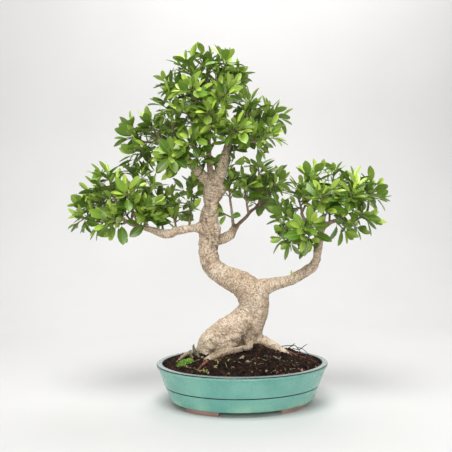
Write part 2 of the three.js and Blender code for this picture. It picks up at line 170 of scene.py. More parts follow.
def colour(code):
    """A hex colour as it looks on screen, as linear red, green, blue and alpha."""
    parts = [int(code[i : i + 2], 16) / 255 for i in (0, 2, 4)]
    return (*[p / 12.92 if p <= 0.04045 else ((p + 0.055) / 1.055) ** 2.4 for p in parts], 1.0)


print("jade green is", [round(v, 3) for v in colour("80beac")])

# %% [markdown]
# A finish is a material: procedural patterns drive the colour, the roughness and the bump of one
# Principled shader. The class below adds the handful of pattern nodes that all finishes share.

# %% A finish


class Finish(Graph):
    def __init__(self, name):
        self.material = bpy.data.materials.new(name)
        self.material.use_nodes = True
        self.material.node_tree.nodes.clear()
        super().__init__(self.material.node_tree)
        self.place = self.node("ShaderNodeTexCoord", out=3)

    def noise(self, scale, detail=3.0, vector=None):
        vector = vector or self.place
        return self.node("ShaderNodeTexNoise", Vector=vector, Scale=scale, Detail=detail)

    def between(self, value, low, high):
        """0 where value is under low, 1 where it is over high, and smooth between."""
        settings = {"interpolation_type": "SMOOTHSTEP"}
        return self.node("ShaderNodeMapRange", settings, Value=value, From_Min=low, From_Max=high)

    def patches(self, scale, low, high, detail=3.0, vector=None):
        return self.between(self.noise(scale, detail, vector), low, high)

    def attribute(self, name, out=2):
        return self.node("ShaderNodeAttribute", {"attribute_name": name}, out=out)

    def axis(self, number, vector=None):
        return self.node("ShaderNodeSeparateXYZ", None, {0: vector or self.place}, number)

    def layered(self, code, *coats):
        """A ground colour under coats of (mask, colour), from the first one up."""
        shade = colour(code)
        for mask, code in coats:
            sockets = {0: mask, 6: shade, 7: colour(code)}
            shade = self.node("ShaderNodeMix", {"data_type": "RGBA"}, sockets, out=2)
        return shade

    def finished(self, shade, roughness, bump=None, **sockets):
        """The material, with a bump of (pattern, distance, strength)."""
        if bump:
            names = ("Height", "Distance", "Strength")
            sockets["Normal"] = self.node("ShaderNodeBump", None, dict(zip(names, bump)))
        shader = self.node(
            "ShaderNodeBsdfPrincipled", Base_Color=shade, Roughness=roughness, **sockets)
        self.node("ShaderNodeOutputMaterial", Surface=shader)
        return self.material


def two_shades(name, scale, first, second, roughness, bump_scale, bump_strength):
    """A finish of two shades in patches, with a fine grain."""
    made = Finish(name)
    shade = made.layered(first, (made.patches(scale, 0.35, 0.65), second))
    return made.finished(shade, roughness, (made.noise(bump_scale), 0.0004, bump_strength))


print("finish helpers ready")

# %% [markdown]
# The camera stands level in front of the pot, a little to its left, at the height where the rim
# shows as a thin ellipse. Its place and lens come from matching the pot's and the trunk's edges.

# %% Camera
VIEW_TURN = math.radians(-8)
CAMERA_LEFT, CAMERA_AWAY, CAMERA_UP = 33, 1220, 350
SENSOR, FOCAL_PIXELS, IMAGE_PIXELS = 36.0, 613, 452


def placed(x, y, z):
    """A point of the tree's own frame, in millimetres, as a place in the scene in metres."""
    c, s = math.cos(VIEW_TURN), math.sin(VIEW_TURN)
    return Vector((POT_X + (x * c - y * s) * MM, (x * s + y * c) * MM, z * MM))


camera = shown("camera", bpy.data.cameras.new("camera"))
camera.data.sensor_width = SENSOR
camera.data.lens = SENSOR * FOCAL_PIXELS / IMAGE_PIXELS
camera.location = placed(-CAMERA_LEFT, -CAMERA_AWAY, CAMERA_UP)
camera.rotation_euler = (math.pi / 2, 0, VIEW_TURN)
bpy.context.scene.camera = camera
print("camera at", [round(v, 3) for v in camera.location])

# %% [markdown]
# A plain pale floor runs up into a pale wall without an edge. Four large soft lights stand above,
# in front, weakly at the right and over the wall, and a white world fills the shadows.

# %% Floor and lights
FLOOR_FRONT, FLOOR_BACK, WALL_TOP, STAGE_HALF = -3.0, 1.6, 3.2, 4.0
SWEEP, SWEEP_STEPS = 0.9, 12
# Name, place, target, width and power
LIGHTS = [
    ("light_above", (-0.3, -0.8, 2.0), (0, 0, 0.35), 1.1, 34),
    ("light_front", (-0.5, -2.3, 1.0), (0, 0, 0.3), 0.9, 18),
    ("light_right", (1.9, -1.0, 1.5), (0, 0, 0.5), 1.2, 6),
    ("light_wall", (0.5, 0.9, 2.4), (0.3, 1.5, 0.8), 1.6, 24),
]
WORLD_STRENGTH = 0.38

profile = [(FLOOR_FRONT, 0.0), (FLOOR_BACK - SWEEP, 0.0)]
for i in range(1, SWEEP_STEPS + 1):
    angle = i / SWEEP_STEPS * math.pi / 2
    profile.append((FLOOR_BACK - SWEEP + SWEEP * math.sin(angle), SWEEP * (1 - math.cos(angle))))
profile.append((FLOOR_BACK, WALL_TOP))
sweep = new_piece(
    "backdrop",
    [(x, y, z) for y, z in profile for x in (-STAGE_HALF, STAGE_HALF)],
    [(2 * i, 2 * i + 1, 2 * i + 3, 2 * i + 2) for i in range(len(profile) - 1)],
)
paper = Finish("pale_paper")
paper_shade = paper.layered("d3d2d0", (paper.noise(3.0, 2.0), "dbdad8"))
sweep.data.materials.append(paper.finished(paper_shade, 0.7))

for name, place, target, width, power in LIGHTS:
    light = shown(name, bpy.data.lights.new(name, "AREA"))
    light.data.shape, light.data.size, light.data.energy = "DISK", width, power
    light.location = place
    light.rotation_euler = (Vector(target) - Vector(place)).to_track_quat("-Z", "Y").to_euler()
world = bpy.data.worlds.new("white_room")
world.use_nodes = True
background = world.node_tree.nodes["Background"].inputs
background["Color"].default_value = colour("f4f6fa")
background["Strength"].default_value = WORLD_STRENGTH
bpy.context.scene.world = world
bpy.context.scene.view_settings.view_transform = "Standard"
print("stage", len(profile), "profile points", len(LIGHTS), "lights")

# %% [markdown]
# The pot is a shallow oval of stoneware on four feet. Its jade glaze is even on the walls, breaks
# to a thin brown line along the rim's edges, and turns pale grey on the flat rim. Shade is painted
# dark into the cut line and onto the inside of the lip above the soil.
# The wall could be carved from a solid, but carrying one profile round the oval keeps the walls
# smooth and gives each part of the profile its own share of the glaze.

# %% The pot's walls
RIM_LONG, RIM_DEEP, POT_TALL = 170, 135, 81
LIP_TALL, LIP_WIDE, WALL, FLOOR = 8, 11, 8, 9
FOOT_TALL, BASE_INSET, WALL_TOP_INSET, LINE_AT = 9.5, 28, 4, 38
LIP_UNDER = POT_TALL - LIP_TALL
INNER_FLOOR = FOOT_TALL + FLOOR
WALL_CURVE = 0.92
ROUND_STEPS = 144


def oval_point(angle, inset):
    """The point of the oval's outline at an angle, moved straight inwards by inset."""
    c, s = math.cos(angle), math.sin(angle)
    normal = Vector((c / RIM_LONG, s / RIM_DEEP)).normalized()
    return Vector((RIM_LONG * c, RIM_DEEP * s)) - normal * inset


def on_pot(p, height):
    """A point [x, y] of the pot's plan at a height, as a place in the scene in metres."""
    return Vector((POT_X + p[0] * MM, p[1] * MM, height * MM))


def wall_inset(height):
    rise = (height - FOOT_TALL) / (LIP_UNDER - FOOT_TALL)
    return BASE_INSET + (WALL_TOP_INSET - BASE_INSET) * rise**WALL_CURVE


def rounded(corners):
    """A profile of (inset, height, radius) corners with each corner cut by a small arc."""
    points = [Vector(corners[0][:2])]
    for before, corner, after in zip(corners, corners[1:], corners[2:]):
        radius = corner[2]
        before, corner, after = (Vector(c[:2]) for c in (before, corner, after))
        a = corner + (before - corner).normalized() * min(radius, (before - corner).length * 0.45)
        b = corner + (after - corner).normalized() * min(radius, (after - corner).length * 0.45)
        for t in (0, 0.25, 0.5, 0.75, 1):
            points.append((1 - t) ** 2 * a + 2 * t * (1 - t) * corner + t**2 * b)
    return points + [Vector(corners[-1][:2])]


pot_profile = rounded([
    (BASE_INSET + 14, FOOT_TALL, 0), (BASE_INSET, FOOT_TALL, 3), (wall_inset(20), 20, 3),
    (wall_inset(LINE_AT - 1), LINE_AT - 1, 0.4), (wall_inset(LINE_AT) + 1.5, LINE_AT + 0.1, 0.5),
    (wall_inset(LINE_AT + 1) - 0.4, LINE_AT + 1.1, 0.5), (wall_inset(56) - 0.4, 56, 4),
    (wall_inset(LIP_UNDER - 1), LIP_UNDER - 1, 1), (0.3, LIP_UNDER + 2, 1.2), (0, POT_TALL, 2.2),
    (LIP_WIDE, POT_TALL, 1.6), (wall_inset(LIP_UNDER) + WALL, LIP_UNDER - 2, 2),
    (BASE_INSET + WALL, INNER_FLOOR + 6, 4), (BASE_INSET + 2 * WALL, INNER_FLOOR, 2),
    (BASE_INSET + 4 * WALL, INNER_FLOOR, 0),
])


def carried_round(rings):
    """Points and faces of a closed body made of [inset, height] rings, with a point in each end."""
    points = [on_pot((0, 0), rings[0][1])]
    for inset, height in rings:
        for k in range(ROUND_STEPS):
            points.append(on_pot(oval_point(2 * math.pi * k / ROUND_STEPS, inset), height))
    points.append(on_pot((0, 0), rings[-1][1]))
    return points, ring_faces(len(rings), ROUND_STEPS)


def ring_faces(rings, steps):
    at = lambda row, k: 1 + row * steps + k % steps
    faces = [(0, at(0, k + 1), at(0, k)) for k in range(steps)]
    for row in range(rings - 1):
        for k in range(steps):
            faces.append((at(row, k), at(row, k + 1), at(row + 1, k + 1), at(row + 1, k)))
    top = 1 + rings * steps
    return faces + [(at(rings - 1, k), at(rings - 1, k + 1), top) for k in range(steps)]


pot = new_piece("glazed_pot", *carried_round(pot_profile))
print("pot", len(pot.data.polygons), "faces")

# %% [markdown]
# The feet stand under the base's outline and narrow a little towards the table. They stay bare
# reddish clay, as the underside does, so that the glaze can't stick the pot to the kiln shelf.

# %% The pot's feet
FOOT_AT, FOOT_SPAN, FOOT_STEPS = (48, 132, 228, 312), 18, 14
FOOT_OUT, FOOT_WIDE, FOOT_SUNK, FOOT_TAPER = BASE_INSET + 7, 20, 3, 0.1
# How far a foot is grown at each height, which rounds its sole
FOOT_LEVELS = [(-1, 0.0), (-0.4, 0.8), (0, 2.0), (0, FOOT_TALL + FOOT_SUNK)]


def foot_block(centre):
    middle = oval_point(math.radians(centre), FOOT_OUT + FOOT_WIDE / 2)
    turns = [FOOT_SPAN * (2 * k / FOOT_STEPS - 1) for k in range(FOOT_STEPS + 1)]
    angles = [math.radians(centre + turn) for turn in turns]
    points = []
    for grow, height in FOOT_LEVELS:
        outer = [oval_point(a, FOOT_OUT - grow) for a in angles]
        inner = [oval_point(a, FOOT_OUT + FOOT_WIDE + grow) for a in reversed(angles)]
        taper = FOOT_TAPER * (1 - height / (FOOT_TALL + FOOT_SUNK))
        points += [on_pot(p.lerp(middle, taper), height) for p in outer + inner]
    n = 2 * len(angles)
    at = lambda row, k: row * n + k % n
    faces = [tuple(reversed(range(n))), tuple(range(3 * n, 4 * n))]
    for row in range(3):
        for k in range(n):
            faces.append((at(row, k), at(row, k + 1), at(row + 1, k + 1), at(row + 1, k)))
    return points, faces


foot_points, foot_faces = [], []
for centre in FOOT_AT:
    points, faces = foot_block(centre)
    foot_faces += [tuple(i + len(foot_points) for i in face) for face in faces]
    foot_points += points
feet = new_piece("clay_feet", foot_points, foot_faces, smooth=False)
print("feet", len(feet.data.polygons), "faces")

# %% [markdown]
# The glaze reads its own place on the pot: an attribute counts how near a point is to a sharp
# edge of the rim, where glaze runs thin and brown, and to the cut line and the inside of the lip,
# where it paints shade dark; the height tells rim from wall.

# %% Glaze and clay
def edge_wear_and_shade(inset, height):
    """1 where glaze runs thin at the rim's two edges, and painted shade in the cut line and inside.
    """
    outer = math.exp(-(((height - POT_TALL + 1.2) / 1.5) ** 2) - (inset / 2.0) ** 2)
    inner = math.exp(-(((height - POT_TALL + 1.0) / 2.2) ** 2) - ((inset - LIP_WIDE) / 2.0) ** 2)
    # painted shade in the cut line, under the overhang of the upper wall
    line = math.exp(-(((height - LINE_AT) / 1.3) ** 2)) * (inset < BASE_INSET + 2)
    # painted shade on the inside of the lip, above the soil
    inside = (inset > LIP_WIDE) * (height > 40)
    return min(1.0, outer + inner + 1.3 * line + inside)


# thin glaze at the rim's edges, and painted shade in the cut line and inside the lip
glaze_wear_and_shade = [edge_wear_and_shade(*ring) for ring in pot_profile for _ in range(ROUND_STEPS)]
note(pot, "glaze_wear_and_shade", "FLOAT", [glaze_wear_and_shade[0], *glaze_wear_and_shade, glaze_wear_and_shade[-1]])

glaze = Finish("jade_glaze")
glaze_cloud = glaze.patches(18.0, 0.35, 0.7, 4.0)
glaze_low = glaze.between(glaze.axis(2), 0.030, 0.012)
glaze_rim = glaze.between(glaze.axis(2), (POT_TALL - 1.6) * MM, (POT_TALL - 0.6) * MM)
# dark where glaze runs thin at the rim's edges, and painted shade in the cut line and inside
glaze_worn_and_shaded = glaze.between(glaze.attribute("glaze_wear_and_shade") + glaze.noise(160.0) * 0.3, 0.55, 0.95)
glaze_shade = glaze.layered(
    "68ab9d",
    (glaze_cloud, "7ebaaa"),
    (glaze_low * glaze_cloud * 0.7, "a6d6b4"),
    (glaze_rim, "8b9a99"),
    # thin glaze at the edges, and painted shade in the cut line and inside the lip
    (glaze_worn_and_shaded, "2a2f29"),
    (glaze.patches(420.0, 0.66, 0.8, 2.0) * 0.35, "5d8f80"),
)
glaze_gloss = glaze.noise(60.0) * 0.12 + 0.22
glaze_waves = (glaze.noise(55.0), 0.0006, 0.25)
pot.data.materials.append(glaze.finished(glaze_shade, glaze_gloss, glaze_waves, Coat_Weight=0.2))

clay = Finish("bare_clay")
clay_grain = clay.noise(700.0, 4.0)
clay_shade = clay.layered(
    "a98372",
    (clay.patches(40.0, 0.3, 0.7), "b8948a"),
    (clay.between(clay_grain, 0.58, 0.75) * 0.6, "7e5a4c"),
)
feet.data.materials.append(clay.finished(clay_shade, 0.85, (clay_grain, 0.0004, 0.5)))

for piece, nodes in ((pot, ("pot",)), (feet, ())):
    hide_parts(*nodes)
    given(piece, "glaze")
print("glaze on", pot.name, "and clay on", feet.name)

# %% [markdown]
# The soil is a mound of coarse dark grains with reddish and pale bits among them. A smooth mound
# carries the form, and Geometry Nodes scatter small broken lumps over its top, since hundreds of
# like grains are one rule and not hundreds of decisions.

# %% The soil's mound
SOIL_EDGE, SOIL_RISE, SOIL_GAP = 73, 32, 0.3
SOIL_WALL = [
    (BASE_INSET + 2 * WALL + SOIL_GAP, INNER_FLOOR + SOIL_GAP),
    (BASE_INSET + WALL + 2 * SOIL_GAP, INNER_FLOOR + 6),
    (wall_inset(LIP_UNDER) + WALL + 2 * SOIL_GAP, LIP_UNDER - 2),
]
SOIL_HEAP, SOIL_HEAP_SPREAD = Vector((28, -22, 12)), 24
SOIL_RINGS = 36


def soil_height(x, y, reach):
    """Height of the mound at x, y, with reach 1 at the wall and 0 in the middle."""
    waves = 1.6 * math.sin(x * 0.13 + 2 * math.cos(y * 0.09)) + 1.3 * math.sin(y * 0.17 - x * 0.05)
    at = Vector((x, y, 0))
    lumps = 1.6 * noise.noise(at * 0.09) + 0.8 * noise.noise(Vector((x, y, 7)) * 0.25)
    away = (at.xy - SOIL_HEAP.xy).length / SOIL_HEAP_SPREAD
    heap = SOIL_HEAP.z * math.exp(-(away**2) / 2)
    mound = SOIL_EDGE + SOIL_RISE * (1 - reach**3)
    return mound + (waves + lumps) * min(1, 3 * (1 - reach)) + heap


def soil_mound():
    points, _ = carried_round(SOIL_WALL)
    points.pop()
    edge = [oval_point(2 * math.pi * k / ROUND_STEPS, SOIL_WALL[-1][0]) for k in range(ROUND_STEPS)]
    for ring in range(1, SOIL_RINGS):
        reach = 1 - ring / SOIL_RINGS
        for p in edge:
            points.append(on_pot(p * reach, soil_height(*(p * reach), reach)))
    points.append(on_pot((0, 0), soil_height(0, 0, 0)))
    return points, ring_faces(len(SOIL_WALL) + SOIL_RINGS - 1, ROUND_STEPS)


soil = new_piece("soil_mound", *soil_mound())
print("soil", len(soil.data.polygons), "faces")

# %% [markdown]
# A tree of Geometry Nodes is run on a small base object, and what it grows is kept as a plain
# mesh. The helper below sets the tree's named inputs by their identifiers, because a modifier
# doesn't know them by name.

# %% Growing a piece with Geometry Nodes
# The first input and the output of a Random Value node for each kind of value
RANDOM_SOCKETS = {"FLOAT": (2, 1), "FLOAT_VECTOR": (0, 0)}
RANDOM_SEED_SOCKET = 8


class Grower(Graph):
    """A Geometry Nodes tree with a Geometry input, a Geometry output and the named inputs given."""

    def __init__(self, name, **inputs):
        super().__init__(bpy.data.node_groups.new(name, "GeometryNodeTree"))
        for title, kind in {"Geometry": "Geometry", **inputs}.items():
            self.tree.interface.new_socket(title, in_out="INPUT", socket_type="NodeSocket" + kind)
        self.tree.interface.new_socket(
            "Geometry", in_out="OUTPUT", socket_type="NodeSocketGeometry")
        self.start = self.tree.nodes.new("NodeGroupInput")

    def __getitem__(self, name):
        return Value(self, self.start.outputs[name])

    def named(self, name, kind="FLOAT"):
        return self.node("GeometryNodeInputNamedAttribute", {"data_type": kind}, Name=name)

    def random(self, low, high, seed, kind="FLOAT"):
        """A random number or vector for each point."""
        first, out = RANDOM_SOCKETS[kind]
        sockets = {first: low, first + 1: high, RANDOM_SEED_SOCKET: seed}
        return self.node("FunctionNodeRandomValue", {"data_type": kind}, sockets, out)

    def joined(self, *parts):
        made = self.tree.nodes.new("GeometryNodeJoinGeometry")
        for part in reversed(parts):
            self.tree.links.new(part.socket, made.inputs[0])
        return Value(self, made.outputs[0])

    def coated(self, geometry, material):
        return self.node("GeometryNodeSetMaterial", Geometry=geometry, Material=material)

    def realized(self, geometry):
        return self.node("GeometryNodeRealizeInstances", Geometry=geometry)

    def tube(self, paths, sides, material):
        """A closed tube along each path, as thick as the path's radius attribute says."""
        curve = self.node("GeometryNodeMeshToCurve", Mesh=paths)
        ring = self.node("GeometryNodeCurvePrimitiveCircle", Resolution=sides, Radius=1.0)
        tube = self.node("GeometryNodeCurveToMesh", Curve=curve, Profile_Curve=ring,
                         Scale=self.named("radius"), Fill_Caps=True)
        return self.coated(tube, material)

    def ends_in(self, geometry):
        end = self.tree.nodes.new("NodeGroupOutput")
        self.tree.links.new(geometry.socket, end.inputs[0])


def grown(name, grower, base, **values):
    """Runs the grower on the base object and returns the result as a piece with a plain mesh."""
    modifier = base.modifiers.new("grow", "NODES")
    modifier.node_group = grower.tree
    for item in grower.tree.interface.items_tree:
        if item.in_out == "INPUT" and item.name in values:
            modifier[item.identifier] = values[item.name]
    depsgraph = bpy.context.evaluated_depsgraph_get()
    mesh = bpy.data.meshes.new_from_object(
        base.evaluated_get(depsgraph), preserve_all_data_layers=True, depsgraph=depsgraph)
    base.modifiers.remove(modifier)
    mesh.name = name
    return shown(name, mesh)


def set_aside(*helpers):
    """Removes objects that only served to grow a piece."""
    for helper in helpers:
        bpy.data.objects.remove(helper)


print("grower ready")

# %% [markdown]
# One grain is a lump of twenty faces with its corners pushed in and out, so that no two sides
# match. Turned and scaled at random, the same lump never looks the same twice.

# %% Grains of soil
ICOSAHEDRON_FACES = [
    (0, 11, 5), (0, 5, 1), (0, 1, 7), (0, 7, 10), (0, 10, 11), (1, 5, 9), (5, 11, 4), (11, 10, 2),
    (10, 7, 6), (7, 1, 8), (3, 9, 4), (3, 4, 2), (3, 2, 6), (3, 6, 8), (3, 8, 9), (4, 9, 5),
    (2, 4, 11), (6, 2, 10), (8, 6, 7), (9, 8, 1),
]
# Most lumps are small: the share between the two sizes is a random number to this power
LUMP_SIZES_POWER = 2.2


def broken_lump(name, seed, flatness):
    rng = random.Random(seed)
    t = (1 + math.sqrt(5)) / 2
    raw = [(-1, t, 0), (1, t, 0), (-1, -t, 0), (1, -t, 0), (0, -1, t), (0, 1, t), (0, -1, -t),
           (0, 1, -t), (t, 0, -1), (t, 0, 1), (-t, 0, -1), (-t, 0, 1)]
    points = [Vector(p).normalized() * rng.uniform(0.7, 1.15) for p in raw]
    points = [Vector((p.x, p.y, p.z * flatness)) for p in points]
    return new_piece(name, points, ICOSAHEDRON_FACES, smooth=False)


def scatter_tree():
    """Lumps scattered over the base's faces: Density a square metre, sizes from Small to Large."""
    g = Grower("scattered_lumps", Lump="Object", Density="Float", Small="Float", Large="Float",
               Seed="Int", Finish="Material", Sunk="Float")
    spots = g.node("GeometryNodeDistributePointsOnFaces",
                   Mesh=g["Geometry"], Density=g["Density"], Seed=g["Seed"])
    lump = g.node("GeometryNodeObjectInfo", out=4, Object=g["Lump"])
    turn = g.random((0, 0, 0), (6.28, 6.28, 6.28), g["Seed"], "FLOAT_VECTOR")
    down = g.node("ShaderNodeCombineXYZ", Z=g["Sunk"] * -1.0)
    low = g.node("GeometryNodeSetPosition", Geometry=spots, Offset=down)
    stretch = g.random((0.7, 0.7, 0.7), (1.3, 1.3, 1.3), g["Seed"] + 5, "FLOAT_VECTOR")
    share = g.random(0.0, 1.0, g["Seed"] + 9) ** LUMP_SIZES_POWER
    size = share * (g["Large"] - g["Small"]) + g["Small"]
    scale = g.node("ShaderNodeVectorMath", {"operation": "SCALE"}, {0: stretch, 3: size})
    lumps = g.node("GeometryNodeInstanceOnPoints",
                   Points=low, Instance=lump, Rotation=turn, Scale=scale)
    settings = {"data_type": "FLOAT", "domain": "INSTANCE"}
    tone = g.random(0.0, 1.0, g["Seed"] + 3)
    lumps = g.node("GeometryNodeStoreNamedAttribute", settings,
                   Geometry=lumps, Name="tone", Value=tone)
    g.ends_in(g.coated(g.realized(lumps), g["Finish"]))
    return g


earth = Finish("dark_earth")
earth_tone = earth.attribute("tone")
earth_shade = earth.layered(
    "110b07",
    (earth.patches(90.0, 0.35, 0.65), "271a12"),
    (earth.between(earth_tone, 0.55, 0.6), "332015"),
    (earth.between(earth_tone, 0.88, 0.9), "553223"),
    (earth.between(earth_tone, 0.965, 0.975), "a48d70"),
)
earth.finished(earth_shade, 0.9, (earth.noise(900.0), 0.0005, 0.6), Specular_IOR_Level=0.2)
soil.data.materials.append(earth.material)

scattered = scatter_tree()
soil_top = new_piece("soil_top", [v.co for v in soil.data.vertices], [
    tuple(p.vertices) for p in soil.data.polygons if p.normal.z > 0.4 and p.center.z > 0.07])
lump = broken_lump("lump", 3, 0.8)
grains = grown("soil_grains", scattered, soil_top, Lump=lump, Density=74000.0, Small=0.0009,
               Large=0.0048, Seed=11, Finish=earth.material, Sunk=0.0004)
set_aside(lump)
for piece, nodes in ((soil, ("soil",)), (grains, ())):
    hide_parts(*nodes)
    given(piece, "soil")
print("grains", triangles(grains), "triangles")

# %% [markdown]
# The tree's wood is grown as one. Each limb follows a smooth path through the points of this
# table, which holds [x, y, z, radius] seen from the front: x to the right, y away from the viewer.

# %% The limbs' routes
LIMBS = {
    "trunk": [
        [2, 4, 50, 27], [6, 2, 100, 27], [11, 0, 135, 25], [20, 0, 160, 26], [24, 0, 186, 28],
        [19, 0, 213, 30], [0, 0, 233, 26], [-25, 0, 246, 22.5], [-47, -1, 258, 20.7],
        [-61, -2, 272, 19.7], [-67, -2, 292, 19.5], [-68, -2, 313, 19.3], [-66, 0, 338, 19.8],
        [-67, 1, 361, 17.9], [-65, 1, 381, 16.1], [-61, 0, 398, 16], [-58, 0, 421, 19.2],
        [-57, 0, 442, 17.5],
    ],
    "left_lobe": [
        [22, 0, 182, 25], [-6, -5, 158, 27], [-40, -10, 136, 27.5], [-62, -12, 116, 26.5],
        [-68, -14, 96, 22], [-70, -16, 66, 19],
    ],
    "middle_lobe": [
        [12, -4, 176, 24], [-12, -12, 146, 25], [-32, -18, 116, 25], [-46, -20, 76, 21],
    ],
    "right_root": [
        [14, -2, 132, 19], [41, -6, 120, 12.5], [64, -10, 111, 9.5], [83, -14, 99, 7],
        [100, -18, 86, 5], [116, -24, 70, 3.2],
    ],
    "left_root": [
        [-70, -12, 112, 8], [-96, -18, 104, 4.6], [-116, -22, 96, 3.8], [-130, -26, 82, 3],
    ],
    "front_root": [
        [18, -14, 114, 8], [8, -34, 114, 6.2], [-14, -46, 112, 6], [-41, -52, 107, 6.2],
        [-65, -58, 98, 6], [-80, -66, 86, 4.6], [-90, -74, 70, 3],
    ],
    "back_root": [
        [18, 8, 140, 20], [26, 34, 120, 15], [36, 54, 108, 11], [50, 70, 96, 8], [62, 82, 78, 5],
    ],
    "back_left_root": [
        [-8, 2, 140, 20], [-26, 28, 122, 15], [-46, 46, 108, 11], [-68, 58, 96, 8],
        [-86, 68, 76, 5],
    ],
    "right_branch": [
        [20, 0, 219, 22], [38, 0, 228, 18], [56, 0, 233, 14.5], [74, -2, 238, 12],
        [93, -4, 242, 10.6], [109, -6, 250, 10.8], [125, -8, 260, 10.6], [139, -10, 271, 10],
        [146, -10, 287, 8.4], [148, -10, 302, 8.8], [152, -9, 322, 7.6], [156, -8, 340, 6.2],
        [162, -8, 360, 5.2],
    ],
    "right_twig_left": [
        [152, -9, 322, 6], [140, -8, 340, 4.6], [126, -4, 358, 3.8], [116, 0, 376, 3],
    ],
    "right_twig_right": [
        [158, -8, 346, 5], [172, -6, 356, 4.6], [190, -6, 364, 4], [206, -4, 380, 3.2],
        [220, -2, 400, 2.6],
    ],
    "left_branch": [
        [-66, 0, 334, 13], [-84, -4, 345, 9.8], [-106, -9, 345, 7.4], [-129, -13, 340, 8.6],
        [-152, -17, 334, 8.4], [-171, -21, 340, 6.9], [-189, -24, 345, 5.6], [-207, -27, 350, 4.8],
        [-225, -28, 358, 4.2], [-243, -24, 370, 3.6], [-262, -10, 380, 3],
    ],
    "back_branch": [
        [-65, 4, 322, 13], [-43, 16, 323, 10.8], [-26, 24, 331, 10], [-16, 28, 344, 7.6],
    ],
    "back_twig_left": [
        [-17, 28, 340, 4.6], [-19, 27, 360, 3.4], [-21, 26, 378, 3], [-24, 28, 398, 2.6],
    ],
    "back_twig_right": [
        [-16, 28, 342, 5.6], [-7, 30, 354, 4.4], [6, 32, 366, 3.8], [20, 34, 382, 3.4],
        [35, 38, 390, 3], [50, 42, 400, 2.6],
    ],
    "crown_left": [
        [-60, 0, 430, 13], [-78, -3, 448, 10.8], [-94, -6, 465, 9.7], [-110, -9, 480, 8.6],
        [-124, -12, 496, 7.4], [-138, -12, 506, 6], [-158, -10, 514, 4.8], [-178, -6, 518, 3.8],
    ],
    "crown_right": [
        [-55, 0, 432, 15], [-45, 0, 455, 12], [-38, 1, 475, 10], [-33, 2, 496, 8.8],
        [-28, 2, 513, 7.2], [-16, 0, 524, 5.4], [2, 2, 534, 4.2], [20, 4, 548, 3.4],
    ],
    "crown_middle": [
        [-60, 2, 430, 11], [-64, 6, 460, 6.6], [-67, 4, 486, 6], [-68, -2, 512, 5.6],
        [-67, 0, 540, 5.2], [-69, 0, 570, 4.8], [-71, 0, 600, 4.4], [-72, 2, 632, 3.6],
    ],
}
print("limbs", len(LIMBS), "points", sum(map(len, LIMBS.values())))

# %% [markdown]
# A centripetal Catmull-Rom curve passes through every point without loops or overshoots, even
# where the points lie unevenly. The radius is carried along as a fourth coordinate.

# %% Smooth paths through the routes
STEPS_PER_STRETCH = 7


def curve_point(route, t):
    """The point [x, y, z, radius] at share t of a route's centripetal Catmull-Rom curve."""
    points = np.array(route, float)
    place = min(max(t, 0.0), 1.0) * (len(points) - 1)
    i = min(int(place), len(points) - 2)
    p1, p2 = points[i], points[i + 1]
    p0 = points[i - 1] if i else 2 * p1 - p2
    p3 = points[i + 2] if i + 2 < len(points) else 2 * p2 - p1
    d0, d1, d2 = (np.sqrt(np.linalg.norm((b - a)[:3])) for a, b in ((p0, p1), (p1, p2), (p2, p3)))
    m1 = ((p1 - p0) / d0 - (p2 - p0) / (d0 + d1) + (p2 - p1) / d1) * d1
    m2 = ((p2 - p1) / d1 - (p3 - p1) / (d1 + d2) + (p3 - p2) / d2) * d1
    w = place - i
    return p1 + m1 * w + (3 * (p2 - p1) - 2 * m1 - m2) * w**2 + (2 * (p1 - p2) + m1 + m2) * w**3


def smooth_path(route):
    count = (len(route) - 1) * STEPS_PER_STRETCH
    return [curve_point(route, i / count) for i in range(count + 1)]


def path_piece(name, paths):
    """Loose edges along the paths, each point with its radius in metres."""
    points, edges, radii = [], [], []
    for path in paths:
        edges += [(len(points) + i, len(points) + i + 1) for i in range(len(path) - 1)]
        points += [placed(*p[:3]) for p in path]
        radii += [p[3] * MM for p in path]
    piece = new_piece(name, points, edges=edges)
    note(piece, "radius", "FLOAT", radii)
    return piece


limb_paths = {name: smooth_path(route) for name, route in LIMBS.items()}
print("path points", sum(map(len, limb_paths.values())))

# %% [markdown]
# Tubes along the paths overlap where limbs meet. A voxel remesh turns them into one skin, and a
# few rounds of smoothing let each branch flow out of the trunk like grown wood.

# %% One skin over all limbs
LIMB_SIDES = 20
SKIN = [
    ("REMESH", {"mode": "VOXEL", "voxel_size": 0.0018, "use_smooth_shade": True}),
    ("SMOOTH", {"factor": 0.5, "iterations": 7}),
]

tubes = Grower("tubes", Sides="Int", Finish="Material")
tubes.ends_in(tubes.tube(tubes["Geometry"], tubes["Sides"], tubes["Finish"]))
bark = Finish("banyan_bark")
limb_lines = path_piece("limb_lines", limb_paths.values())
wood = grown("wood", tubes, limb_lines, Sides=LIMB_SIDES, Finish=bark.material)
set_aside(limb_lines)
for kind, settings in SKIN:
    modifier = wood.modifiers.new(kind.lower(), kind)
    for name, value in settings.items():
        setattr(modifier, name, value)
depsgraph = bpy.context.evaluated_depsgraph_get()
skin = bpy.data.meshes.new_from_object(wood.evaluated_get(depsgraph), depsgraph=depsgraph)
wood.modifiers.clear()
wood.data = skin
print("wood", triangles(wood), "triangles")

# %% [markdown]
# Bark is read in the limb's own directions: along it, and across it in two ways. Each point of
# the skin finds the limb it belongs to and keeps those three lengths as an attribute, which the
# shader uses too. Banyan bark is smooth, with low swellings and fine wrinkles across the limb.

# %% Relief of the bark
RELIEF = {"swell": 1.5, "knobs": 1.5, "wrinkles": 0.5, "pits": 2.2}
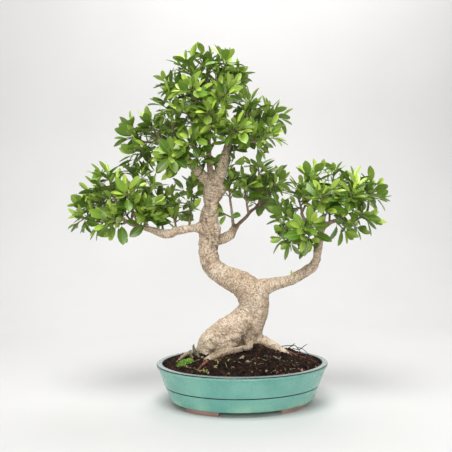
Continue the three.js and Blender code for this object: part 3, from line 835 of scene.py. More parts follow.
# Scars and cracks seen from the front: [x, z, x, z, width, rise, darkness], from end to end. The
# darkness paints shade into the cracks and dents and onto the back twig under the foliage, and
# gives the raised scars a little colour of their own.
MARKS = [
    [-72, 357, -73, 364, 2.4, -4.0, 1.0], [-76, 372, -62, 352, 5.0, 1.8, 0.1],
    [-58, 430, -49, 429, 2.2, -2.6, 0.9], [-54, 438, -53, 420, 8.0, 2.6, 0.1],
    [-60, 411, -50, 409, 6.0, 2.4, 0.2], [-84, 337, -74, 328, 3.0, -1.2, 0.5],
    [-68, 330, -58, 334, 5.0, 2.2, 0.3], [-70, 281, -67, 279, 2.2, -1.8, 0.9],
    [-69, 284, -68, 275, 5.0, 1.4, 0.0], [1, 136, 1, 110, 3.0, -4.0, 0.9],
    [-22, 130, -4, 121, 3.4, -2.0, 0.55], [12, 146, 15, 128, 4.0, -2.0, 0.3],
    [-30, 120, -62, 106, 3.0, -1.5, 0.5], [146, 288, 150, 283, 5.0, 1.8, 0.2],
    [120, 258, 124, 262, 5.0, 1.6, 0.2], [97, 245, 101, 247, 4.0, 1.2, 0.1],
    [-38, 424, -36, 410, 7.0, 5.0, 0.1], [-40, 368, -40, 350, 7.0, 6.0, 0.65],
    [-84, 356, -84, 340, 6.0, 3.0, 0.1], [-72, 342, -66, 322, 4.0, 2.6, 0.0],
    [-50, 346, -46, 336, 4.0, 2.4, 0.2], [-78, 418, -80, 408, 5.0, 2.6, 0.2],
    [-70, 326, -67, 322, 1.8, -1.8, 0.8], [-61, 319, -57, 317, 1.8, -1.6, 0.8],
    [-56, 327, -53, 322, 1.6, -1.4, 0.7], [-52, 311, -49, 304, 2.0, -1.6, 0.8],
    [-62, 334, -60, 331, 1.4, -1.2, 0.7], [-79, 345, -76, 341, 1.6, -1.2, 0.7],
    [-70, 402, -66, 400, 1.8, -1.4, 0.7], [-50, 396, -46, 398, 1.8, -1.4, 0.7],
    [-64, 424, -60, 422, 1.6, -1.2, 0.7], [-48, 418, -44, 414, 1.6, -1.2, 0.7],
    [-14, 350, 20, 380, 6.0, 0.0, 0.9], [20, 380, 50, 400, 6.0, 0.0, 0.9],
    [14, 146, 30, 132, 6.0, -1.6, 0.35], [-24, 110, 4, 118, 5.0, -1.0, 0.5],
    [-84, 96, -78, 88, 6.0, -1.0, 0.5],
]
# Fields of small pits: left, right, lowest, highest and how many
PIT_FIELDS = [
    [-66, 12, 104, 152, 60], [-30, 16, 150, 190, 16], [-86, -42, 296, 350, 26],
    [-80, -38, 392, 446, 26],
]
PIT_SEED = 17
# Limbs this thick have the full relief, and those this thin have the colour of twigs
FULL_RELIEF_RADIUS, TWIG_RADIUS, TWIG_BLEND = 16, 7.5, 4.5
ASIDE = Vector((0.9, 0.1, 0.4))


def limb_samples():
    """Centres of all limbs with radius, direction, cross direction and length from the base."""
    samples = []
    for number, path in enumerate(limb_paths.values()):
        length, across = 100.0 * number, None
        for i, p in enumerate(path):
            a, b = path[max(i - 1, 0)], path[min(i + 1, len(path) - 1)]
            along = Vector((b - a)[:3]).normalized()
            across = (across or along.cross(ASIDE)) - along * along.dot(across or along)
            across.normalize()
            length += float(np.linalg.norm((p - path[i - 1])[:3])) if i else 0.0
            samples.append((Vector(p[:3]), float(p[3]), along, across.copy(), length))
    return samples


samples = limb_samples()
finder = kdtree.KDTree(len(samples))
for i, sample in enumerate(samples):
    finder.insert(placed(*sample[0]), i)
finder.balance()
to_tree = Matrix.Rotation(-VIEW_TURN, 3, "Z")


def tree_point(p):
    return to_tree @ Vector((p.x - POT_X, p.y, p.z)) / MM


def grain_of(p):
    """(along, across, third way, radius) of a skin point on the limb that it belongs to."""
    near = finder.find_n(p, 8)
    index = min(near, key=lambda found: found[2] / MM - samples[found[1]][1])[1]
    centre, radius, along, across, length = samples[index]
    offset = tree_point(p) - centre
    return length + offset.dot(along), offset.dot(across), offset.dot(along.cross(across)), radius


def gnarled(height):
    """About 1 on the smooth middle of the trunk, up to 2.2 at its knotty top and its old base."""
    top = math.exp(-(((height - 375) / 60) ** 2))
    base = math.exp(-(((height - 128) / 34) ** 2))
    return 1 + 1.2 * top + 0.9 * base


def relief_at(grain, point):
    along, across, third, radius = grain
    swell = noise.noise(point * 0.022) + 0.6 * noise.noise(point * 0.05)
    knobs = noise.noise(Vector((along * 0.10, across * 0.07, third * 0.07)))
    ridge = 1 - abs(noise.noise(Vector((along * 0.24, across * 0.06, third * 0.06)))) * 2.5
    pits = max(0.0, 0.36 - noise.voronoi(point * 0.16)[0][0]) * 2.8
    relief = RELIEF["swell"] * swell + RELIEF["knobs"] * knobs * gnarled(point.z)
    relief += RELIEF["wrinkles"] * ridge
    relief -= RELIEF["pits"] * pits * (gnarled(point.z) - 0.9)
    return min(1.0, radius / FULL_RELIEF_RADIUS) * relief


def pit_marks(seed):
    """Small pits with painted shade in them, in the old stretches of the trunk: its foot and its
    knotty top.
    """
    rng = random.Random(seed)
    pits = []
    for left, right, low, high, count in PIT_FIELDS:
        for _ in range(count):
            x, z = rng.uniform(left, right), rng.uniform(low, high)
            reach = rng.uniform(0.5, 3.0)
            pits.append([x, z, x + reach, z - rng.uniform(0.2, 1.4), rng.uniform(0.9, 1.8),
                         rng.uniform(-1.5, -0.6), rng.uniform(0.35, 0.8)])
    return pits


def marked(points, facing, marks):
    """Rise and darkness that the scars, cracks and pits give the trunk's front; the darkness is
    mostly painted shade.
    """
    rise, dark = np.zeros(len(points)), np.zeros(len(points))
    for x0, z0, x1, z1, width, mark_rise, mark_dark in marks:
        start, way = np.array([x0, z0]), np.array([x1 - x0, z1 - z0])
        t = np.clip((points - start) @ way / (way @ way), 0, 1)
        away = np.linalg.norm(points - start - t[:, None] * way, axis=1)
        weight = np.exp(-((away / width) ** 2)) * facing
        rise += mark_rise * weight
        # painted shade in the dents, cracks and pits, with a little colour of the raised scars
        dark = np.maximum(dark, mark_dark * weight)
    return rise, dark


rest = [v.co.copy() for v in wood.data.vertices]
normals = [n.vector.copy() for n in wood.data.vertex_normals]
wood_grains = [grain_of(p) for p in rest]
in_tree = [tree_point(p) for p in rest]
facing = np.array([(to_tree @ n).y < 0.1 for n in normals])
rises, darks = marked(np.array([p.xz for p in in_tree]), facing, MARKS + pit_marks(PIT_SEED))
raised, stains_and_shade = [], []
for p, place, normal, grain, rise, dark in zip(rest, in_tree, normals, wood_grains, rises, darks):
    relief = relief_at(grain, place)
    raised.append(p + normal * (float(rise) + relief) * MM)
    # the marks' darkness, and a painted shade where the relief sinks into hollows
    stains_and_shade.append(max(float(dark), min(0.6, -0.3 * relief - 0.15)))
wood.data.vertices.foreach_set("co", [v for p in raised for v in p])

thinness = [min(1.0, max(0.0, (TWIG_RADIUS - g[3]) / TWIG_BLEND)) for g in wood_grains]
note(wood, "grain", "FLOAT_VECTOR", [v * MM for grain in wood_grains for v in grain[:3]])
# painted shade in hollows, cracks and pits, with the scars' own colour
note(wood, "stain_and_shade", "FLOAT", stains_and_shade)
note(wood, "thin", "FLOAT", thinness)
wood.data.update()
print("bark relief on", len(wood_grains), "points")

# %% [markdown]
# The bark is pale grey-beige. Fine dark scales, rings and pores run across the limb, greenish
# algae tint the lower trunk, and young twigs are browner. Painted shade darkens the hollows,
# cracks and pits, and the scars' own colour is mixed in. All of it reads the grain attribute.

# %% Bark
bark_grain = bark.attribute("grain", out=1)


def bark_noise(detail, along, across):
    """Noise that is stretched round the limb, by its scales along the limb and across it."""
    sockets = {0: bark_grain, 1: (along, across, across)}
    stretched = bark.node("ShaderNodeVectorMath", {"operation": "MULTIPLY"}, sockets)
    return bark.noise(1.0, detail, stretched)


bark_scales = bark_noise(4.0, 430.0, 240.0)
bark_rings = bark_noise(2.0, 250.0, 36.0)
bark_pores = bark.between(bark_noise(2.0, 620.0, 420.0), 0.58, 0.68)
bark_pored = bark_pores * (bark.patches(26.0, 0.38, 0.6, 2.0) * 0.7 + 0.25)
bark_low = bark.between(bark.axis(2), 0.155, 0.095) * bark.patches(22.0, 0.35, 0.62)
bark_shade = bark.layered(
    "c8af93",
    (bark.patches(30.0, 0.35, 0.68, 4.0), "e5d1b8"),
    (bark.between(bark_scales, 0.50, 0.36) * 0.65, "846a50"),
    (bark.between(bark_scales, 0.52, 0.64) * 0.45, "f3e4cb"),
    (bark.between(bark_rings, 0.46, 0.36) * 0.35, "8b7158"),
    (bark_pored, "54402c"),
    (bark_low * 0.45, "84825c"),
    (bark.attribute("thin") * 0.62, "8f7362"),
    # painted shade in the hollows, cracks and pits, over the scars' own colour
    (bark.attribute("stain_and_shade") * 0.85, "4b3826"),
)
bark_bump = bark_scales * 1.3 + bark_rings * 0.6 - bark_pores * 0.5
bark.finished(bark_shade, 0.8, (bark_bump, 0.0016, 0.9))
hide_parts("trunk")
given(wood, "bark")
print("bark on", wood.name)

# %% [markdown]
# Fifty-three twigs leave the limbs, each to the foot of one leafy spray. The table gives each
# pad's name, the limb that carries it, the stretch of the limb and the sprays' centres.

# %% The pads of foliage
PADS = [
    ("top", "crown_middle", 0.72, 0.97, [
        [-98, -54, 606], [-34, -46, 604], [-77, 56, 622], [-138, 5, 628], [-18, 24, 644],
        [-106, -12, 660], [-36, -22, 662], [-68, 12, 679]]),
    ("heart", "crown_middle", 0.3, 0.7, [
        [-97, -58, 509], [-62, -56, 556], [-107, -50, 563], [-73, 58, 560]]),
    ("crown_left", "crown_left", 0.45, 0.97, [
        [-138, -52, 484], [-148, 46, 533], [-144, 0, 587], [-179, -16, 546], [-206, -8, 492],
        [-218, 14, 533]]),
    ("crown_right", "crown_right", 0.5, 0.97, [
        [-16, -48, 534], [8, 48, 552], [46, -22, 524], [12, -4, 588], [54, 10, 568]]),
    ("left_pad", "left_branch", 0.58, 0.98, [
        [-188, -44, 380], [-184, 0, 424], [-219, -54, 408], [-250, 44, 404], [-215, 8, 446],
        [-259, -40, 362], [-262, -14, 440], [-308, -16, 366], [-292, 18, 420], [-314, 12, 392]]),
    ("left_middle", "left_branch", 0.2, 0.42, [
        [-103, 34, 420], [-137, 26, 387], [-165, 26, 392]]),
    ("right_middle", "back_twig_right", 0.5, 0.97, [
        [4, 30, 436], [42, 72, 420], [34, 34, 462], [66, 46, 440]]),
    ("right_inner", "back_twig_left", 0.9, 0.9, [[-27, 34, 444]]),
    ("right_pad_near", "right_twig_left", 0.3, 0.97, [
        [117, -46, 342], [92, -4, 326], [86, 18, 366], [112, 6, 412], [140, -12, 443]]),
    ("right_pad_far", "right_twig_right", 0.1, 0.97, [
        [150, -56, 404], [184, 56, 402], [231, -20, 366], [206, -46, 408], [182, 16, 439],
        [220, 2, 434], [259, 2, 416]]),
]
SHOOT_LONG = 27
TWIG_STEPS, TWIG_SIDES = 12, 9
# Three places of the same noise, one for each coordinate: noise_vector differs from run to run
DRIFT_OFFSETS = (0.0, 31.7, 57.1)


def scatter(index, salt):
    """A number between 0 and 1 that is always the same for the same two numbers."""
    wave = math.sin(index * 12.9898 + salt * 78.233) * 43758.5453
    return wave - math.floor(wave)


def spray_plan():
    plan = []
    for pad, limb, first, last, centres in PADS:
        for i, centre in enumerate(centres):
            t = first + (last - first) * i / max(1, len(centres) - 1)
            start = Vector(curve_point(LIMBS[limb], t)[:3])
            heading = ((Vector(centre) - start).normalized() + UP * 0.4).normalized()
            foot = Vector(centre) - heading * 0.6 * SHOOT_LONG
            plan.append({"pad": pad, "name": f"spray_{pad}_{i + 1}", "number": len(plan),
                         "start": start, "foot": foot, "heading": heading})
    return plan


def twig_point(spray, t):
    """The point at share t of the bent twig from the limb to the spray's foot."""
    start, foot, heading = spray["start"], spray["foot"], spray["heading"]
    bend = foot - heading * 0.45 * (foot - start).length
    p = (1 - t) ** 2 * start + 2 * t * (1 - t) * bend + t**2 * foot
    drift = Vector([noise.noise(p * 0.06 + UP * offset) for offset in DRIFT_OFFSETS])
    return p + drift * 1.6 * math.sin(math.pi * t)


def twig_path(spray):
    """The twig's points, with a radius that shrinks to its tip and swells at each node."""
    path = []
    for i in range(TWIG_STEPS + 1):
        knot = 0.35 * scatter(spray["number"] * 13 + i, 4)
        path.append(np.array([*twig_point(spray, i / TWIG_STEPS), 2.4 - 0.08 * i + knot]))
    return path


plan = spray_plan()
twig_lines = path_piece("twig_lines", [twig_path(spray) for spray in plan])
twigs = grown("twigs", tubes, twig_lines, Sides=TWIG_SIDES, Finish=bark.material)
twig_points = [p.co for p in twigs.data.vertices]
note(twigs, "grain", "FLOAT_VECTOR", [v for p in twig_points for v in (p.z, p.x, p.y)])
note(twigs, "stain_and_shade", "FLOAT", [0.25] * len(twig_points))
note(twigs, "thin", "FLOAT", [1.0] * len(twig_points))
set_aside(twig_lines)
given(twigs, "bark")
print("sprays", len(plan), "twig triangles", triangles(twigs))

# %% [markdown]
# A banyan leaf is a glossy pointed oval on a short stalk, folded a little along its midrib and
# arched back. It is drawn once for each of three ages, as a closed skin of a few dozen faces, and
# its UV map says where on the leaf a point lies: the second half of U is the underside.

# %% One leaf
# Rows from the leaf's foot to its tip: share of the length and share of the full width
LEAF_ROWS = [
    (0.0, 0.05), (0.13, 0.47), (0.33, 0.85), (0.56, 1.0), (0.79, 0.76), (0.93, 0.34), (1.0, 0.0)]
LEAF_COLUMNS = (-1.0, -0.5, 0.0, 0.5, 1.0)
LEAF_THICK = 0.011
STALK = 0.15
STALK_RINGS = ((0.0, 0.020), (STALK * 0.5, 0.015), (STALK * 1.35, 0.012))
# Name, width, fold and arch
LEAF_KINDS = [
    ("leaf_0_full", 0.47, 0.42, 0.20), ("leaf_1_flat", 0.44, 0.26, 0.10),
    ("leaf_2_young", 0.38, 0.72, -0.05),
]


def leaf_surface(t, side, width, fold, arch):
    """A point of a leaf of length 1 that grows along X, with its face up."""
    x = STALK + (1 - STALK) * t
    y = side * width / 2
    return Vector((x, y, fold * abs(y) ** 1.15 - arch * x * x - 0.25 * abs(y) * abs(side) * t))


def leaf_piece(name, *form):
    points, uvs, faces = [], [], []
    n, rows = len(LEAF_COLUMNS), LEAF_ROWS[:-1]
    for layer in (0, 1):
        for t, share in rows:
            for c in LEAF_COLUMNS:
                p = leaf_surface(t, c * share, *form)
                points.append(p - UP * layer * LEAF_THICK * (1 - abs(c)))
                uvs.append((0.5 + 0.48 * c * share, t))
    points.append(leaf_surface(1.0, 0.0, *form))
    uvs.append((0.5, 1.0))
    tip = 2 * len(rows) * n

    def at(layer, row, column):
        """The two layers share their edge points, so that the skin is closed."""
        return row * n + column + (len(rows) * n if layer and 0 < column < n - 1 else 0)

    last = len(rows) - 1
    for layer in (0, 1):
        for c in range(n - 1):
            for r in range(last):
                corners = ((r, c), (r + 1, c), (r + 1, c + 1), (r, c + 1))
                faces.append((layer, tuple(at(layer, *corner) for corner in corners)))
            faces.append((layer, (at(layer, last, c), tip, at(layer, last, c + 1))))
    faces.append((1, tuple(range(n)) + tuple(at(1, 0, c) for c in (3, 2, 1))))
    first = len(points)
    for x, radius in STALK_RINGS:
        for k in range(3):
            angle = 2 * math.pi * k / 3
            points.append(Vector((x, radius * math.cos(angle), radius * math.sin(angle) - 0.006)))
            uvs.append((0.5, -0.2))
    for k in range(6):
        a, b = first + k, first + k - k % 3 + (k + 1) % 3
        faces.append((0, (a, b, b + 3, a + 3)))
    faces += [(0, (first, first + 1, first + 2)), (0, (first + 6, first + 7, first + 8))]
    return mapped_leaf(name, points, uvs, faces, tip)


def mapped_leaf(name, points, uvs, faces, tip):
    """Makes the leaf's mesh, turns its faces outwards and writes its UV map."""
    used = sorted({i for _, face in faces for i in face})
    index = {old: new for new, old in enumerate(used)}
    piece = new_piece(
        name, [points[i] for i in used], [tuple(index[i] for i in face) for _, face in faces])
    shell = bmesh.new()
    shell.from_mesh(piece.data)
    bmesh.ops.recalc_face_normals(shell, faces=shell.faces)
    shell.to_mesh(piece.data)
    shell.free()
    uv = piece.data.uv_layers.new(name="leaf_uv")
    for polygon, (layer, _) in zip(piece.data.polygons, faces):
        for loop in polygon.loop_indices:
            u, v = uvs[used[piece.data.loops[loop].vertex_index]]
            uv.data[loop].uv = (u + layer, v)
    edge_columns = (0, len(LEAF_COLUMNS) - 1)
    rim = {i for i in used if i < tip and i % len(LEAF_COLUMNS) in edge_columns} | {tip}
    rim = {index[i] for i in rim}
    for edge in piece.data.edges:
        edge.use_edge_sharp = set(edge.vertices) <= rim
    return piece


leaf_kinds = bpy.data.collections.new("leaf_kinds")
for name, *form in LEAF_KINDS:
    piece = leaf_piece(name, *form)
    bpy.context.scene.collection.objects.unlink(piece)
    leaf_kinds.objects.link(piece)
    print(name, len(piece.data.polygons), "faces")

# %% [markdown]
# A spray is a shoot with side shoots. Leaves stand round each shoot in turn, wide apart at its
# foot and closing up to the young leaves at its tip. A leaf turns its face towards the light
# outside the pad: of a few ways that it could point, it takes the one with the most room, and
# none leaves the solids' box.

# %% Where the leaves stand
LEAF_LONG = 43
LEAF_TURN = math.radians(144)
SIDE_SHOOTS = 3
LEAF_TRIES = 7
# Leaves on the main shoot, on its side shoots and on the shoots along the twig
SHOOT_LEAVES = (5, 3, 3, 3, 2, 2, 2, 2)
TWIG_SHOOTS = (0.42, 0.58, 0.74, 0.9)
LIMB_SHOOT_LONG, LIMB_SHOOT_LEAVES = 30, 4
# Lone shoots that leave a bare limb: pad, limb, share of the limb's length and heading
LIMB_SHOOTS = [
    ("crown_left", "crown_left", 0.5, (-0.5, -0.7, -0.25)),
    ("crown_left", "crown_left", 0.3, (0.5, -0.8, 0.5)),
    ("crown_left", "crown_left", 0.66, (0.1, -0.9, -0.2)),
    ("crown_right", "crown_right", 0.42, (0.7, -0.6, 0.2)),
    ("crown_right", "crown_right", 0.2, (0.9, -0.3, 0.3)),
    ("heart", "crown_middle", 0.24, (-0.5, -0.7, 0.4)),
    ("heart", "crown_middle", 0.2, (0.6, 0.7, 0.3)),
    ("left_pad", "left_branch", 0.66, (0.2, -0.7, 0.5)),
    ("right_pad_near", "right_branch", 0.82, (-0.9, -0.5, -0.05)),
    ("right_pad_far", "right_twig_right", 0.4, (0.5, -0.5, -0.6)),
    ("right_inner", "back_twig_left", 0.45, (-0.6, -0.6, 0.3)),
]
PAD_SUNK = 25


def swung(along, azimuth):
    """A direction square to along, swung round it."""
    return Quaternion(along, azimuth) @ along.cross(ASIDE).normalized()


def leaf_at(root, heading, azimuth, lean, length, kind, young, light):
    """A leaf that leaves a shoot at root, leaning away from heading, with its face to the light."""
    along = heading * math.cos(lean) + swung(heading, azimuth) * math.sin(lean)
    side = (heading * 0.4 + UP * 0.5 + light * 0.8).cross(along).normalized()
    return {"root": root, "along": along, "face": along.cross(side).normalized(), "length": length,
            "kind": kind, "young": young}


class Canopy:
    """All leaves so far, by points along their midribs."""

    def __init__(self):
        self.points = np.zeros((0, 3))
        self.leaves = []

    def midrib(self, leaf):
        way = leaf["along"] * leaf["length"]
        return np.array([leaf["root"] + way * s for s in (0.45, 0.75, 1.0)])

    def room(self, leaf):
        """Distance to the nearest leaf, and minus one where the leaf would leave the box."""
        for p in self.midrib(leaf):
            if not all(low < v < high for v, low, high in zip(placed(*p), cad_low, cad_high)):
                return -1.0
        if not len(self.points):
            return 1.0
        return float(np.min(np.linalg.norm(self.points[None] - self.midrib(leaf)[:, None], axis=2)))

    def add(self, *ways):
        best = max(ways, key=self.room)
        if self.room(best) >= 0:
            self.points = np.vstack([self.points, self.midrib(best)])
            self.leaves.append(best)


def leaves_up(spray, start, heading, length, count, turn, salt):
    """Leaves round one shoot, and two young ones at its tip."""
    number = spray["number"]
    light = (start - spray["middle"]).normalized()
    for i in range(count):
        rise = (i + 0.5) / count
        root = start + heading * length * (0.15 + 0.8 * rise)
        ways = []
        for attempt in range(LEAF_TRIES):
            key = number * 101 + i * 17 + attempt * 7 + salt * 31
            azimuth = turn + i * LEAF_TURN + (scatter(key, 5) - 0.5) * 1.1
            lean = math.radians((68 if salt else 82) - 38 * rise + 26 * (scatter(key, 6) - 0.5))
            size = LEAF_LONG * (0.70 + 0.36 * scatter(key, 7)) * (1 - 0.14 * rise)
            ways.append(leaf_at(root, heading, azimuth, lean, size, i % 2, 0.5 * rise, light))
        canopy.add(*ways)
    tip = start + heading * length
    for i in range(2):
        key = number * 53 + i * 19 + salt * 41
        azimuth = turn + 1.3 + i * math.pi + scatter(key, 8)
        lean = math.radians(16 + 22 * scatter(key, 9))
        size = LEAF_LONG * (0.54 + 0.24 * scatter(key, 10))
        canopy.add(leaf_at(tip, heading, azimuth, lean, size, 2, 0.8 + 0.2 * i, light))


def spray_shoots(spray):
    """The main shoot, its side shoots and those along the twig, as (start, heading, length)."""
    foot, heading, number = spray["foot"], spray["heading"], spray["number"]
    shoots = [(foot, heading, SHOOT_LONG)]
    turn = scatter(number, 11) * 6.28
    for k in range(SIDE_SHOOTS):
        azimuth = turn + k * 2 * math.pi / SIDE_SHOOTS + scatter(number + k, 12)
        lean = math.radians(52 + 22 * scatter(number * 3 + k, 13))
        way = heading * math.cos(lean) + swung(heading, azimuth) * math.sin(lean) + UP * 0.15
        start = foot + heading * SHOOT_LONG * (0.05 + 0.3 * k)
        shoots.append((start, way.normalized(), 17 + 6 * scatter(number + k, 14)))
    along = (foot - spray["start"]).normalized()
    for k, t in enumerate(TWIG_SHOOTS):
        way = along * 0.55 + swung(along, scatter(number, 15) * 6.28 + 2.4 * k) + UP * 0.45
        shoots.append((twig_point(spray, t), way.normalized(), 12 + 6 * scatter(number + k, 16)))
    return shoots


def shoot_path(start, heading, length, first, radius, less=0.0):
    """The woody line of a shoot, from the first share of its length on and thinner to its tip."""
    shares = (first, 0.3, 0.7, 1)
    return [np.array([*(start + heading * length * s), radius - 0.8 * s - less]) for s in shares]


canopy = Canopy()
shoot_paths = {pad: [] for pad, *_ in PADS}
for spray in plan:
    feet_of_pad = [other["foot"] for other in plan if other["pad"] == spray["pad"]]
    spray["middle"] = sum(feet_of_pad, Vector()) / len(feet_of_pad) - UP * PAD_SUNK
for spray in plan:
    first = len(canopy.leaves)
    turn = scatter(spray["number"], 1) * 2 * math.pi
    for salt, (shoot, count) in enumerate(zip(spray_shoots(spray), SHOOT_LEAVES)):
        leaves_up(spray, *shoot, count, turn + salt, salt)
        shoot_paths[spray["pad"]].append(shoot_path(*shoot, -0.1, 1.9, 0.3 * bool(salt)))
    spray["leaves"] = canopy.leaves[first:]
for number, (pad, limb, share, heading) in enumerate(LIMB_SHOOTS):
    start, heading = Vector(curve_point(LIMBS[limb], share)[:3]), Vector(heading).normalized()
    shoot = (start, heading, LIMB_SHOOT_LONG)
    lone = {"number": len(plan) + number, "middle": start - heading}
    first = len(canopy.leaves)
    leaves_up(lone, *shoot, LIMB_SHOOT_LEAVES, number * 1.7, 1)
    shoot_paths[pad].append(shoot_path(*shoot, 0, 1.8))
    next(spray for spray in plan if spray["pad"] == pad)["leaves"] += canopy.leaves[first:]
print("leaves", len(canopy.leaves))

# %% [markdown]
# The leaf's finish: young leaves are a fresh yellow green, old ones deep green and glossier. The
# midrib and side veins are paler and stand proud, and the underside is matte and lighter. The
# tone and young attributes also carry painted light: leaves deep in a pad are painted darker, and
# those at its outside and top lighter and yellower.

# %% Leaf finish
SIDE_VEINS, VEIN_SLANT = 9.0, 7.0

leaf = Finish("banyan_leaf")
leaf_map = leaf.node("ShaderNodeUVMap", {"uv_map": "leaf_uv"})
leaf_u, leaf_v = leaf.axis(0, leaf_map), leaf.axis(1, leaf_map)
leaf_under = leaf.between(leaf_u, 0.99, 1.01)
leaf_from_rib = (leaf_u - leaf_under - 0.5).math("ABSOLUTE")
leaf_rib = leaf.between(leaf_from_rib, 0.035, 0.008)
leaf_side = (leaf_v * SIDE_VEINS - leaf_from_rib * VEIN_SLANT).math("FRACT")
leaf_veins = leaf.between(leaf_side, 0.82, 0.95)
leaf_tone_and_sunlight = leaf.attribute("tone")
# the dark ground is the painted shade of leaves deep in a pad; tone and young carry painted light
leaf_shade = leaf.layered(
    "183606",
    (leaf_tone_and_sunlight, "5f9222"),
    (leaf.attribute("young"), "c0d956"),
    (leaf.patches(70.0, 0.3, 0.7, 2.0) * 0.3, "6c9a26"),
    (leaf_veins * 0.18, "a3bf58"),
    (leaf_rib * 0.6, "b2c76c"),
    (leaf_under * 0.45, "7d9a48"),
)
leaf_gloss = leaf_under * 0.22 + leaf_tone_and_sunlight * 0.1 + 0.27
leaf_bump = (leaf_rib + leaf_veins * 0.3, 0.0003, 0.6)
leaf_material = leaf.finished(leaf_shade, leaf_gloss, leaf_bump, Coat_Weight=0.08)
shoot_material = two_shades("young_shoot", 150.0, "6b5b3e", "7f8a4a", 0.6, 500.0, 0.4)
print("leaf finishes ready")

# %% [markdown]
# One Geometry Nodes tree dresses a pad: each base point becomes a leaf, turned by the direction
# that it carries, and each loose path becomes a shoot. The pad is one plain mesh in the end.

# %% Leafy pads
SHOOT_SIDES = 6


def pad_tree():
    g = Grower("leafy_pad", Leaves="Collection", Shoots="Object", Leaf="Material", Wood="Material")
    kinds = g.node("GeometryNodeCollectionInfo", Collection=g["Leaves"], Separate_Children=True,
                   Reset_Children=True)
    turn = g.node("FunctionNodeAxesToRotation", {"primary_axis": "X", "secondary_axis": "Z"},
                  Primary_Axis=g.named("along", "FLOAT_VECTOR"),
                  Secondary_Axis=g.named("face", "FLOAT_VECTOR"))
    leaves = g.node("GeometryNodeInstanceOnPoints", Points=g["Geometry"], Instance=kinds,
                    Pick_Instance=True, Instance_Index=g.named("kind", "INT"), Rotation=turn,
                    Scale=g.named("size"))
    lines = g.node("GeometryNodeObjectInfo", out=4, Object=g["Shoots"])
    leaves = g.coated(g.realized(leaves), g["Leaf"])
    g.ends_in(g.joined(leaves, g.tube(lines, SHOOT_SIDES, g["Wood"])))
    return g


def leaf_points(leaves):
    """A base of loose points, each with its leaf's directions, size, kind, and shade with painted
    light.
    """
    base = new_piece("leaf_points", [placed(*leaf["root"]) for leaf in leaves])
    roots = np.array([leaf["root"] for leaf in leaves])
    away = np.linalg.norm(roots - roots.mean(axis=0), axis=1)
    rise = (roots[:, 2] - roots[:, 2].min()) / np.ptp(roots[:, 2])
    sun = 0.5 * away / away.max() + 0.5 * rise
    # painted light: leaves at the pad's outside and top look younger and yellower
    youth_and_sunlight = [min(1.0, leaf["young"] * (0.4 + 1.1 * s)) for leaf, s in zip(leaves, sun)]
    for name in ("along", "face"):
        note(base, name, "FLOAT_VECTOR", [v for leaf in leaves for v in from_tree @ leaf[name]])
    note(base, "size", "FLOAT", [leaf["length"] * MM for leaf in leaves])
    note(base, "kind", "INT", [leaf["kind"] for leaf in leaves])
    note(base, "young", "FLOAT", youth_and_sunlight)
    # random tone, painted darker deep in the pad and lighter at its outside and top
    note(base, "tone", "FLOAT", [scatter(i, len(leaves)) * (0.3 + s) for i, s in enumerate(sun)])
    return base


from_tree = Matrix.Rotation(VIEW_TURN, 3, "Z")
dress = pad_tree()
for pad, *_ in PADS:
    sprays = [spray for spray in plan if spray["pad"] == pad]
    base = leaf_points([leaf for spray in sprays for leaf in spray["leaves"]])
    lines = path_piece("shoot_lines", shoot_paths[pad])
    piece = grown("foliage_" + pad, dress, base, Leaves=leaf_kinds, Shoots=lines,
                  Leaf=leaf_material, Wood=shoot_material)
    set_aside(base, lines)
    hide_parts(*[spray["name"] for spray in sprays])
    given(piece, "leaf_green")
    print(piece.name, triangles(piece), "triangles")
set_aside(*leaf_kinds.objects)

# %% [markdown]
# The soil's top carries what time leaves there: chips of bark and pumice, and a cushion of moss.
# Both are the same scattering of lumps as the grains, with flatter lumps and their own colours.

# %% Chips and moss
MOSS_RINGS, MOSS_STEPS = 6, 20


def soil_top_at(x, y):
    """Height of the soil under a point of the tree's frame, in millimetres."""
    p = to_tree.inverted() @ Vector((x, y, 0))
    inset = SOIL_WALL[-1][0]
    reach = math.hypot(p.x / (RIM_LONG - inset), p.y / (RIM_DEEP - inset))
    return soil_height(p.x, p.y, min(1.0, reach))


def low_mound(name, centre, half_long, half_deep, rise, turn):
    """A flattened dome on the soil, a little lumpy, closed by its sunken rim."""
    points = [placed(*centre, soil_top_at(*centre) - 3)]
    for ring in range(MOSS_RINGS):
        share = 1 - ring / MOSS_RINGS
        for k in range(MOSS_STEPS):
            angle = 2 * math.pi * k / MOSS_STEPS
            wave = 1 + 0.18 * math.sin(3 * angle + turn) + 0.1 * math.sin(7 * angle)
            x = centre[0] + half_long * share * wave * math.cos(angle)
            y = centre[1] + half_deep * share * wave * math.sin(angle)
            lumps = 1.2 * noise.noise(Vector((x, y, 3)) * 0.3)
            bump = rise * (1 - share**2) - 2.5 * (ring == 0) + lumps
            points.append(placed(x, y, soil_top_at(x, y) + bump))
    points.append(placed(*centre, soil_top_at(*centre) + rise))
    return new_piece(name, points, ring_faces(MOSS_RINGS, MOSS_STEPS))


def flecked(name, first, second, third):
    """A matte finish of two mixed shades, with a third one on the lumps of the highest tone."""
    made = Finish(name)
    tone = made.attribute("tone")
    shade = made.layered(
        first,
        (tone, second),
        (made.between(tone, 0.78, 0.84), third),
        (made.patches(300.0, 0.5, 0.7) * 0.4, "2a2018"),
    )
    return made.finished(shade, 0.85, (made.noise(700.0), 0.0004, 0.5))


